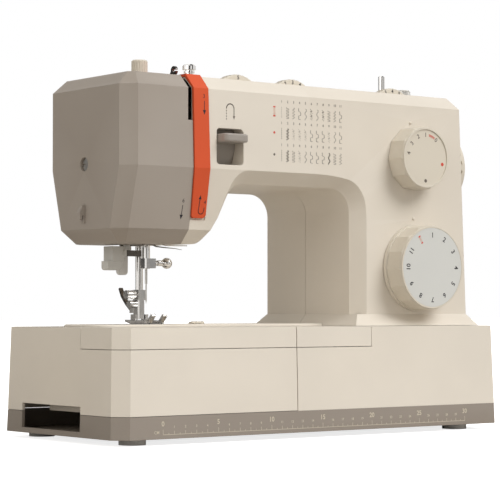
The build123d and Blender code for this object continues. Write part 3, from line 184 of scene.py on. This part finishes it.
def clear_plastic(name, color):
    """Yellowed clear plastic with a faint haze."""
    mat, tree, shader = new_material(name)
    haze = object_noise(tree, 300.0, 3.0)
    base = ramp_between(tree, haze.outputs["Fac"], shade(color, 0.96), shade(color, 1.04))
    tree.links.new(base.outputs["Color"], shader.inputs["Base Color"])
    rough_map = add_node(tree, "ShaderNodeMapRange")
    rough_map.inputs["To Min"].default_value = 0.15
    rough_map.inputs["To Max"].default_value = 0.32
    tree.links.new(haze.outputs["Fac"], rough_map.inputs["Value"])
    tree.links.new(rough_map.outputs["Result"], shader.inputs["Roughness"])
    shader.inputs["Transmission Weight"].default_value = 0.7
    shader.inputs["IOR"].default_value = 1.49
    return mat


cream = plastic("cream_plastic", (0.722, 0.664, 0.578), rough=0.45)
cream_knob = plastic("cream_knob_plastic", (0.680, 0.625, 0.530), rough=0.38, bump=0.006)
taupe = plastic("taupe_plastic", (0.338, 0.294, 0.252), rough=0.46, bump=0.016)
band = plastic("band_plastic", (0.262, 0.222, 0.184), rough=0.48, bump=0.016)
orange = plastic("orange_plastic", (0.640, 0.075, 0.012), rough=0.46, bump=0.006, vary=0.04, wear=0.02,
                 gloss=0.22)
disc_grey = plastic("grey_disc", (0.625, 0.630, 0.605), rough=0.36, bump=0.004, vary=0.015)
lever_grey = plastic("lever_grey_plastic", (0.330, 0.300, 0.270), rough=0.42)
dark = plastic("dark_plastic", (0.020, 0.019, 0.018), rough=0.45)
white = plastic("white_plastic", (0.800, 0.790, 0.770), rough=0.34, bump=0.004)
threader_mix = split_along_x(
    plastic("threader_plastic", (0.600, 0.595, 0.570), rough=0.36, bump=0.004),
    -132.5, (0.17, 0.155, 0.14), 0.2)
belt_rubber = plastic("belt_rubber", (0.020, 0.020, 0.020), rough=0.7, bump=0.05)
chrome = metal("chrome", (0.80, 0.79, 0.78), rough=0.12, bump=0.01, vary=0.04)
dark_chrome = metal("dark_chrome", (0.20, 0.185, 0.175), rough=0.16, bump=0.02)
steel = metal("ground_steel", (0.60, 0.59, 0.57), rough=0.28, stretch=(30.0, 1.0, 1.0), bump=0.06)
plate_steel = metal("plate_steel", (0.70, 0.69, 0.67), rough=0.24, stretch=(1.0, 40.0, 1.0), bump=0.05)
alloy = metal("cast_alloy", (0.48, 0.49, 0.50), rough=0.5, stretch=(1.0, 1.0, 1.0), vary=0.15, bump=0.4)
clear = clear_plastic("clear_plastic", (0.94, 0.93, 0.90))
pad_rubber = plastic("foot_rubber", (0.860, 0.855, 0.840), rough=0.62, bump=0.03)
ink = plastic("grey_ink", (0.150, 0.125, 0.105), rough=0.6, bump=0.002, wear=0.0, soften=0.0)
ink_dark = plastic("black_ink", (0.020, 0.018, 0.025), rough=0.55, bump=0.002, wear=0.0, soften=0.0)
ink_red = plastic("red_ink", (0.620, 0.075, 0.045), rough=0.55, bump=0.002, wear=0.0, soften=0.0)
ink_blush = plastic("pale_red_ink", (0.640, 0.330, 0.250), rough=0.55, bump=0.002, wear=0.0, soften=0.0)
ink_pale = plastic("pale_ink", (0.600, 0.540, 0.430), rough=0.6, bump=0.002, wear=0.0, soften=0.0)

LOOKS = {
    cream: ("base_cover", "bed_front_cover", "accessory_box", "box_lid", "free_arm", "shuttle_door",
            "front_shell", "rear_shell", "lever_pocket"),
    cream_knob: ("length_dial", "pattern_dial", "handwheel", "tension_dial", "width_dial", "balance_dial",
                 "pressure_knob", "drop_feed_slider"),
    taupe: ("face_cover", "thread_cutter"),
    band: ("base_tray",),
    orange: ("thread_trim",),
    disc_grey: ("pattern_disc",),
    lever_grey: ("reverse_lever",),
    dark: ("power_inlet", "power_switch"),
    white: ("lifter_lever",),
    threader_mix: ("threader",),
    pad_rubber: ("rubber_feet",),
    belt_rubber: ("motor_belt",),
    chrome: ("needle_clamp", "clamp_screw", "foot_holder", "presser_screw", "thread_stud", "presser_foot",
             "winder_spindle", "presser_bar", "needle_bar"),
    dark_chrome: ("take_up_lever", "foot_release_lever", "spool_pin"),
    steel: ("shuttle_race", "shuttle_hook", "bobbin_case", "bobbin", "lower_shaft", "main_shaft",
            "crank_disc", "needle_rod", "shuttle_rod", "motor_rotor", "needle", "presser_spring",
            "face_screw",
            "winder_carriage", "feed_dog"),
    plate_steel: ("needle_plate",),
    alloy: ("cast_frame", "motor_body"),
    clear: ("winder_stop",),
}
for material, names in LOOKS.items():
    for node_name in names:
        mesh = nodes[node_name].data
        mesh.materials.clear()
        mesh.materials.append(material)
        even = nodes[node_name].modifiers.new("even_shading", "WEIGHTED_NORMAL")
        even.keep_sharp = True


# ---------------------------------------------------------------- printed marks
class Board:
    """A flat face that takes ink. Marks are placed in millimetres across and up the face."""

    LIFT = 0.06

    def __init__(self, origin, right, up):
        self.right = Vector(right).normalized()
        self.up = Vector(up).normalized()
        self.out = self.right.cross(self.up)
        self.origin = Vector(origin) * MM + self.out * self.LIFT * MM
        self.points = []
        self.faces = []

    def place(self, x, y):
        return self.origin + self.right * x * MM + self.up * y * MM

    def patch(self, outline):
        start = len(self.points)
        self.points += [self.place(x, y) for x, y in outline]
        self.faces.append(tuple(range(start, start + len(outline))))

    def bar(self, a, b, width):
        """Straight stroke between two points."""
        along = Vector((b[0] - a[0], b[1] - a[1])).normalized()
        side = Vector((-along.y, along.x)) * width / 2
        self.patch([(a[0] - side.x, a[1] - side.y), (b[0] - side.x, b[1] - side.y),
                    (b[0] + side.x, b[1] + side.y), (a[0] + side.x, a[1] + side.y)])

    def line(self, path, width):
        """Stroke along a path, one bar to each run, lengthened to close the corners."""
        for a, b in zip(path, path[1:]):
            run = Vector((b[0] - a[0], b[1] - a[1]))
            over = run.normalized() * width * 0.3
            self.bar((a[0] - over.x, a[1] - over.y), (b[0] + over.x, b[1] + over.y), width)

    def dot(self, x, y, radius):
        turn = [2 * math.pi * i / 16 for i in range(16)]
        self.patch([(x + radius * math.cos(t), y + radius * math.sin(t)) for t in turn])

    def arrow_head(self, x, y, angle, size):
        """Solid triangle whose tip is at a point and looks along an angle."""
        ahead = Vector((math.cos(angle), math.sin(angle)))
        side = Vector((-ahead.y, ahead.x))
        back = Vector((x, y)) - ahead * size
        wing = side * size * 0.42
        self.patch([(x, y), (back.x + wing.x, back.y + wing.y), (back.x - wing.x, back.y - wing.y)])

    def text(self, words, x, y, height, turn=0.0, bold=0.0):
        """Number centred on a point, turned by an angle in radians and thickened when bold."""
        curve = bpy.data.curves.new("lettering", "FONT")
        curve.body = words
        curve.align_x = "CENTER"
        curve.align_y = "CENTER"
        curve.size = height * 1.38
        curve.resolution_u = 3
        curve.offset = bold
        holder = bpy.data.objects.new("lettering", curve)
        mesh = bpy.data.meshes.new_from_object(holder)
        start = len(self.points)
        for vertex in mesh.vertices:
            px = vertex.co.x * math.cos(turn) - vertex.co.y * math.sin(turn)
            py = vertex.co.x * math.sin(turn) + vertex.co.y * math.cos(turn)
            self.points.append(self.place(x + px, y + py))
        for face in mesh.polygons:
            self.faces.append(tuple(start + i for i in face.vertices))
        bpy.data.objects.remove(holder)
        bpy.data.meshes.remove(mesh)

    def finish(self, name, material, body, slot_name):
        mesh = bpy.data.meshes.new(name)
        mesh.from_pydata([tuple(p) for p in self.points], [], self.faces)
        mesh.materials.append(material)
        piece = bpy.data.objects.new(name, mesh)
        bpy.context.scene.collection.objects.link(piece)
        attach(piece, body)
        return piece


def upright_board(front):
    """An upright face that looks to the front, marked by true X and Z in millimetres."""
    return Board((0, front, 0), (1, 0, 0), (0, 0, 1))


ARM_FRONT = -60.5

# stitch chart
CHART_X = -27.7
CHART_STEP = 5.96
CHART_ROWS = (259.3, 242.7, 225.7)
CHART_HALF = 4.4
STITCH_KINDS = ("01234545123", "02555333543", "02154333412")
HEAVY_STITCHES = (".....x.x...", "xx.........", "xx......x..")
chart = upright_board(ARM_FRONT)


def sway(kind, t):
    """Sideways place of a stitch at a fraction of its length, for one of a few stitch kinds."""
    if kind == 0:
        return 0.0
    if kind == 1:
        return 1.1 if int(t * 8) % 2 else -1.1
    if kind == 2:
        return 1.0 * math.sin(t * 24)
    if kind == 3:
        return (1.1 if int(t * 3) % 2 else -0.9) + 0.35 * math.sin(t * 50)
    if kind == 4:
        return 0.8 * math.sin(t * 11) + 0.5 * (int(t * 16) % 2)
    return 1.2 * (2 * (t * 5 % 1) - 1)


def stitch(x, top, kind, width):
    """One stitch sample hanging below its number."""
    steps = 24
    path = [(x + sway(kind, i / steps), top - 2 * CHART_HALF * i / steps) for i in range(steps + 1)]
    if kind == 0:
        for a, b in zip(path[::4], path[2::4]):
            chart.bar(a, b, width)
    elif kind == 5:
        for a, b in zip(path[::2], path[1::2]):
            chart.bar(a, b, width)
    else:
        chart.line(path, width)


for row, number_z in enumerate(CHART_ROWS):
    for column in range(11):
        at = CHART_X + CHART_STEP * column
        chart.text(str(column + 1), at, number_z, 1.9, bold=0.05)
        stroke = 0.62 if HEAVY_STITCHES[row][column] == "x" else 0.32
        stitch(at, number_z - 4.2, int(STITCH_KINDS[row][column]), stroke)
chart.dot(-34.9, 218.0, 1.0)

# reverse arrow over the lever
turn_x, turn_z, turn_r = -77.5, 250.8, 3.6
arc = [(turn_x + turn_r * math.cos(math.pi * i / 12), turn_z + turn_r * math.sin(math.pi * i / 12))
       for i in range(13)]
chart.line(arc, 0.75)
chart.bar((turn_x + turn_r, turn_z), (turn_x + turn_r, 244.8), 0.75)
chart.arrow_head(turn_x + turn_r, 242.6, -math.pi / 2, 2.6)
for dash in range(4):
    low = turn_z - 1.2 - 2.1 * dash
    chart.bar((turn_x - turn_r, low), (turn_x - turn_r, low - 1.1), 0.75)
chart.finish("chart_print", ink, "machine", "dark_plastic")

marks = upright_board(ARM_FRONT)
marks.bar((-34.9, 255.4), (-34.9, 254.3), 2.2)
marks.bar((-34.9, 248.4), (-34.9, 247.3), 2.2)
marks.dot(-34.9, 235.0, 1.0)
marks.finish("chart_red_marks", ink_red, "machine", "orange_plastic")

hatch = upright_board(ARM_FRONT)
for rung in range(6):
    level = 253.6 - 0.95 * rung
    hatch.bar((-35.9, level), (-33.9, level - 0.3), 0.35)
hatch.finish("chart_pale_marks", ink_blush, "machine", "orange_plastic")


# ---------------------------------------------------------------- threading marks
SLOPE = math.atan(12.5 / 46.0)
CREASE_Z = 204.5
cover_low = Board((0, ARM_FRONT, CREASE_Z), (1, 0, 0), (0, -math.sin(SLOPE), math.cos(SLOPE)))
cover_low.text("6", -116.2, -25.6, 3.2)
cover_low.bar((-116.2, -29.0), (-116.2, -37.0), 0.55)
cover_low.arrow_head(-116.2, -40.0, -math.pi / 2, 3.6)
cover_low.finish("cover_print", ink_dark, "machine", "dark_plastic")

trim_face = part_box("thread_trim")[0][1] / MM
trim_high = upright_board(trim_face)
trim_high.text("3", -103.1, 258.4, 3.2)
trim_high.bar((-102.7, 255.0), (-102.7, 247.5), 0.55)
trim_high.arrow_head(-102.7, 244.4, -math.pi / 2, 3.6)
trim_high.finish("trim_print_high", ink_dark, "machine", "dark_plastic")

trim_low = Board((0, trim_face, CREASE_Z), (1, 0, 0), (0, -math.sin(SLOPE), math.cos(SLOPE)))
bend = [(-99.6 + 2.5 * math.cos(math.pi * (1 + i / 10)), -33.0 + 2.5 * math.sin(math.pi * (1 + i / 10)))
        for i in range(11)]
trim_low.line(bend, 0.6)
trim_low.bar((-102.1, -33.0), (-102.1, -23.5), 0.6)
trim_low.arrow_head(-102.1, -20.9, math.pi / 2, 3.2)
trim_low.bar((-97.1, -33.0), (-97.1, -30.4), 0.6)
trim_low.text("4", -97.1, -26.4, 3.0)
trim_low.finish("trim_print_low", ink_dark, "machine", "dark_plastic")


# ---------------------------------------------------------------- ruler
RULER_X = -154.5
RULER_UP = 7.7
RULER_LONG = 300
NUMBER_UP = 15.4
TICK = 0.35
BASE_FRONT = -82.5
FOOT_H = 4.5
DRAFT = 0.028
lean = math.atan(DRAFT)
ruler = Board((0, BASE_FRONT - FOOT_H * DRAFT, 0), (1, 0, 0), (0, math.sin(lean), math.cos(lean)))
ruler.bar((RULER_X, RULER_UP), (RULER_X + RULER_LONG, RULER_UP), TICK)
for half in range(61):
    at = RULER_X + 5 * half
    tall = 3.6 if half % 10 == 0 else 2.6 if half % 2 == 0 else 1.3
    ruler.bar((at, RULER_UP), (at, RULER_UP + tall), TICK)
    if half and half % 2 == 0:
        if half % 10 == 0:
            ruler.text(str(half // 2), at, NUMBER_UP, 3.7, bold=0.09)
        else:
            ruler.text(str(half // 2), at, 13.1, 1.8, bold=0.04)
ruler.text("0", RULER_X, NUMBER_UP, 3.7, bold=0.09)
ruler.text("CM", RULER_X - 5.6, 9.3, 2.3, bold=0.03)
ruler.finish("ruler_print", ink_pale, "machine", "cream_plastic")


# ---------------------------------------------------------------- dial numbers
def front_of(node):
    """Middle of a dial and the height of its front face, in millimetres."""
    low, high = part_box(node)
    return (low[0] + high[0]) / 2 / MM, low[1] / MM, (low[2] + high[2]) / 2 / MM


def dial_point(centre, radius, degrees):
    return (centre[0] + radius * math.cos(math.radians(degrees)),
            centre[2] + radius * math.sin(math.radians(degrees)))


length_c = (108.0, front_of("length_dial")[1], 221.1)
RIM = 0.8
length_face = upright_board(length_c[1] + RIM)
for words, degrees in (("4", 171.0), ("3", 143.6), ("2", 115.7), ("1", 90.0), ("0", 52.6)):
    x, z = dial_point(length_c, 18.4, degrees)
    length_face.text(words, x, z, 3.6, math.radians(degrees - 90), bold=0.09)
x, z = dial_point(length_c, 18.8, -90.5)
length_face.dot(x, z, 1.45)
length_face.finish("length_dial_print", ink, "length", "dark_plastic")

length_red = upright_board(length_c[1] + RIM)
for rung in range(8):
    inner = dial_point(length_c, 17.6, 59 + 2.6 * rung)
    outer = dial_point(length_c, 19.6, 60.5 + 2.6 * rung)
    length_red.bar(inner, outer, 0.5)
x, z = dial_point(length_c, 18.8, -14.7)
length_red.dot(x, z, 1.5)
length_red.finish("length_dial_red", ink_red, "length", "orange_plastic")

pattern_c = (111.5, front_of("pattern_disc")[1], 132.2)
MARK_EDGES = (117.6, 122.4)  # degrees round the dial between which the buttonhole mark lies
pattern_face = upright_board(pattern_c[1])
for number in range(1, 12):
    degrees = 90 - 30 * (number - 1)
    x, z = dial_point(pattern_c, 25.9, degrees)
    pattern_face.text(str(number), x, z, 4.1, math.radians(degrees - 90), bold=0.1)
pattern_face.finish("pattern_dial_print", ink_dark, "pattern", "dark_plastic")

pattern_red = upright_board(pattern_c[1])
for radius in (22.6, 28.4):
    right_end = dial_point(pattern_c, radius, MARK_EDGES[0])
    left_end = dial_point(pattern_c, radius, MARK_EDGES[1])
    pattern_red.bar(right_end, left_end, 1.1)
pattern_red.finish("pattern_dial_red", ink_red, "pattern", "orange_plastic")

pattern_hatch = upright_board(pattern_c[1])
for rung in range(6):
    right_end = dial_point(pattern_c, 23.5 + 0.75 * rung, MARK_EDGES[0])
    left_end = dial_point(pattern_c, 23.8 + 0.75 * rung, MARK_EDGES[1])
    pattern_hatch.bar(right_end, left_end, 0.35)
pattern_hatch.finish("pattern_dial_hatch", ink_blush, "pattern", "orange_plastic")

# numbers round the thumb wheels
for wheel, turn_body, gap, first in (("tension_dial", "tension", 36, 5), ("width_dial", "width", 20, 3),
                                     ("balance_dial", "balance", 20, 4)):
    wheel_c = front_of(wheel)
    wheel_face = upright_board(wheel_c[1] + 9.5)
    for step in range(-4, 5):
        degrees = 90 - gap * step
        x, z = dial_point((wheel_c[0], 0, wheel_c[2]), 21.4, degrees)
        wheel_face.text(str((first + step) % 10), x, z, 3.0, math.radians(degrees - 90), bold=0.1)
    wheel_face.finish(wheel + "_print", ink_dark, turn_body, "dark_plastic")


# ---------------------------------------------------------------- wire thread guides
def wire(name, path, radius, material, body, flat=1.0, taper=0.0):
    """Bent wire through a path of points in millimetres, flattened and thinned towards its end."""
    rings = 10
    points = []
    faces = []
    spots = [Vector(p) * MM for p in path]
    fine = []
    for a, b in zip(spots, spots[1:]):
        fine += [a.lerp(b, i / 4) for i in range(4)]
    fine.append(spots[-1])
    last = len(fine) - 1
    for i, spot in enumerate(fine):
        ahead = (fine[min(i + 1, last)] - fine[max(i - 1, 0)]).normalized()
        side = ahead.cross(Vector((0, 0, 1)))
        side = side.normalized() if side.length > 0.05 else Vector((1, 0, 0))
        over = side.cross(ahead)
        size = radius * MM * (1 - taper * i / last)
        for j in range(rings):
            turn = 2 * math.pi * j / rings
            points.append(tuple(spot + side * size * math.cos(turn) + over * size * flat * math.sin(turn)))
    for i in range(last):
        for j in range(rings):
            k = (j + 1) % rings
            faces.append((i * rings + j, i * rings + k, (i + 1) * rings + k, (i + 1) * rings + j))
    faces.append(tuple(reversed(range(rings))))
    faces.append(tuple(last * rings + j for j in range(rings)))
    mesh = bpy.data.meshes.new(name)
    mesh.from_pydata(points, [], faces)
    mesh.materials.append(material)
    for face in mesh.polygons:
        face.use_smooth = len(face.vertices) == 4
    piece = bpy.data.objects.new(name, mesh)
    bpy.context.scene.collection.objects.link(piece)
    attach(piece, body)
    return piece


head_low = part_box("face_cover")[0][2] / MM
needle_x = sum(c[0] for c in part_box("needle")) / 2 / MM
wire("right_thread_guide",
     [(needle_x - 2.0, -11.5, head_low + 0.6), (needle_x + 2.0, -13.0, head_low - 1.5),
      (needle_x + 8.0, -17.0, head_low - 2.4), (needle_x + 14.0, -20.5, head_low - 3.0),
      (needle_x + 19.5, -22.5, head_low - 4.0)],
     1.5, dark_chrome, "machine", flat=0.45, taper=0.75)
wire("left_thread_guide",
     [(needle_x - 7.0, -12.5, head_low + 0.6), (needle_x - 12.0, -13.5, head_low - 0.9),
      (needle_x - 18.0, -13.0, head_low - 1.1), (needle_x - 19.0, -9.5, head_low - 1.2),
      (needle_x - 15.0, -8.0, head_low - 1.0)],
     0.55, dark_chrome, "machine")
wire("long_thread_guide",
     [(needle_x + 1.0, -16.5, head_low + 0.6), (needle_x + 6.0, -19.5, head_low - 0.8),
      (needle_x + 13.0, -23.5, head_low - 1.0), (needle_x + 22.0, -25.5, head_low - 0.9)],
     0.45, chrome, "machine")


# ---------------------------------------------------------------- stage, light and camera
# the coil gets its own copy of the mesh and moves with the presser bar, which rises under the pressure
# knob; the imported coil is hidden
coil_node = bpy.data.objects["presser_spring"]
coil = bpy.data.objects.new("presser_spring_coil", coil_node.data.copy())
coil.matrix_world = coil_node.matrix_world.copy()
bpy.context.scene.collection.objects.link(coil)
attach(coil, "presser")
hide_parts("presser_spring")
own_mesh(coil)

floor_mesh = bpy.data.meshes.new("floor")
SIDE = 12.0
floor_corners = [(-SIDE, -SIDE, 0), (SIDE, -SIDE, 0), (SIDE, SIDE, 0), (-SIDE, SIDE, 0)]
floor_mesh.from_pydata(floor_corners, [], [(0, 1, 2, 3)])
floor = bpy.data.objects.new("floor", floor_mesh)
bpy.context.scene.collection.objects.link(floor)
floor.location.z = -0.0002
floor_mat, floor_tree, floor_shader = new_material("floor")
paper = object_noise(floor_tree, 3.0)
tone = ramp_between(floor_tree, paper.outputs["Fac"], (0.90, 0.90, 0.90), (0.93, 0.93, 0.93))
floor_tree.links.new(tone.outputs["Color"], floor_shader.inputs["Base Color"])
floor_shader.inputs["Roughness"].default_value = 0.9
floor_shader.inputs["Emission Color"].default_value = (1, 1, 1, 1)
floor_shader.inputs["Emission Strength"].default_value = 0.80
bounce = floor_tree.nodes.new("ShaderNodeBsdfDiffuse")
bounce.inputs["Color"].default_value = (0.52, 0.49, 0.45, 1)
floor_seen = floor_tree.nodes.new("ShaderNodeLightPath")
floor_mix = floor_tree.nodes.new("ShaderNodeMixShader")
floor_tree.links.new(floor_seen.outputs["Is Camera Ray"], floor_mix.inputs["Fac"])
floor_tree.links.new(bounce.outputs["BSDF"], floor_mix.inputs[1])
floor_tree.links.new(floor_shader.outputs["BSDF"], floor_mix.inputs[2])
floor_tree.links.new(floor_mix.outputs["Shader"], floor_tree.nodes["Material Output"].inputs["Surface"])
floor_mesh.materials.append(floor_mat)

world = bpy.data.worlds.new("studio")
bpy.context.scene.world = world
world.use_nodes = True
sky = world.node_tree
seen = sky.nodes["Background"]
seen.inputs["Color"].default_value = (1.0, 1.0, 1.0, 1)
seen.inputs["Strength"].default_value = 1.0
lit = sky.nodes.new("ShaderNodeBackground")
lit.inputs["Color"].default_value = (1.0, 0.970, 0.925, 1)
lit.inputs["Strength"].default_value = 0.50
# dark flags and bright panels round the studio, seen only in polished metal
around = sky.nodes.new("ShaderNodeTexCoord")
axes = sky.nodes.new("ShaderNodeSeparateXYZ")
sky.links.new(around.outputs["Generated"], axes.inputs["Vector"])
panels = sky.nodes.new("ShaderNodeValToRGB")
panels.color_ramp.interpolation = "EASE"
shades = ((0.0, 0.95), (0.13, 0.95), (0.19, 0.06), (0.36, 0.05), (0.42, 0.85), (0.56, 1.0), (0.63, 0.10),
          (0.76, 0.08), (0.84, 0.9), (1.0, 0.7))
while len(panels.color_ramp.elements) < len(shades):
    panels.color_ramp.elements.new(0.5)
for element, (place, value) in zip(panels.color_ramp.elements, shades):
    element.position = place
for element, (place, value) in zip(panels.color_ramp.elements, shades):
    element.color = (value, value * 0.985, value * 0.96, 1)
across = sky.nodes.new("ShaderNodeMapRange")
across.inputs["From Min"].default_value = -1.0
across.inputs["From Max"].default_value = 1.0
sky.links.new(axes.outputs["X"], across.inputs["Value"])
sky.links.new(across.outputs["Result"], panels.inputs["Fac"])
polished = sky.nodes.new("ShaderNodeBackground")
polished.inputs["Strength"].default_value = 1.1
sky.links.new(panels.outputs["Color"], polished.inputs["Color"])
which = sky.nodes.new("ShaderNodeLightPath")
either = sky.nodes.new("ShaderNodeMixShader")
sky.links.new(which.outputs["Is Camera Ray"], either.inputs["Fac"])
shiny = sky.nodes.new("ShaderNodeMixShader")
sky.links.new(which.outputs["Is Glossy Ray"], shiny.inputs["Fac"])
sky.links.new(lit.outputs["Background"], shiny.inputs[1])
sky.links.new(polished.outputs["Background"], shiny.inputs[2])
sky.links.new(shiny.outputs["Shader"], either.inputs[1])
sky.links.new(seen.outputs["Background"], either.inputs[2])
sky.links.new(either.outputs["Shader"], sky.nodes["World Output"].inputs["Surface"])


def aim(lamp, place, target):
    lamp.location = place
    lamp.rotation_euler = (Vector(target) - Vector(place)).to_track_quat("-Z", "Y").to_euler()
    bpy.context.scene.collection.objects.link(lamp)


def soft_sun(name, place, strength, spread):
    """Broad, even light from one side of the studio."""
    light = bpy.data.lights.new(name, "SUN")
    light.energy = strength
    light.angle = math.radians(spread)
    aim(bpy.data.objects.new(name, light), place, (0, 0, 0))


def softbox(name, place, target, size, power, color):
    """Rectangular area light that looks at a point."""
    light = bpy.data.lights.new(name, "AREA")
    light.color = color
    light.shape = "RECTANGLE"
    light.size = size[0]
    light.size_y = size[1]
    light.energy = power
    aim(bpy.data.objects.new(name, light), place, target)


soft_sun("key", (0.45, -1.0, 1.05), 2.10, 35)
softbox("fill", (-2.2, -0.6, 1.0), (0.0, 0.0, 0.15), (1.2, 1.2), 9.0, (1.0, 0.95, 0.87))

CAMERA_AZIMUTH = -37.5
CAMERA_PITCH = 1.69
CAMERA_LENS = 141.55
CAMERA_PLACE = (-0.9722, -1.2512, 0.0994)
camera_data = bpy.data.cameras.new("camera")
camera_data.sensor_width = 36.0
camera_data.lens = CAMERA_LENS
camera = bpy.data.objects.new("camera", camera_data)
camera.location = CAMERA_PLACE
camera.rotation_euler = (math.radians(90 + CAMERA_PITCH), 0, math.radians(CAMERA_AZIMUTH))
bpy.context.scene.collection.objects.link(camera)
bpy.context.scene.camera = camera

bpy.context.scene.view_settings.view_transform = "Standard"
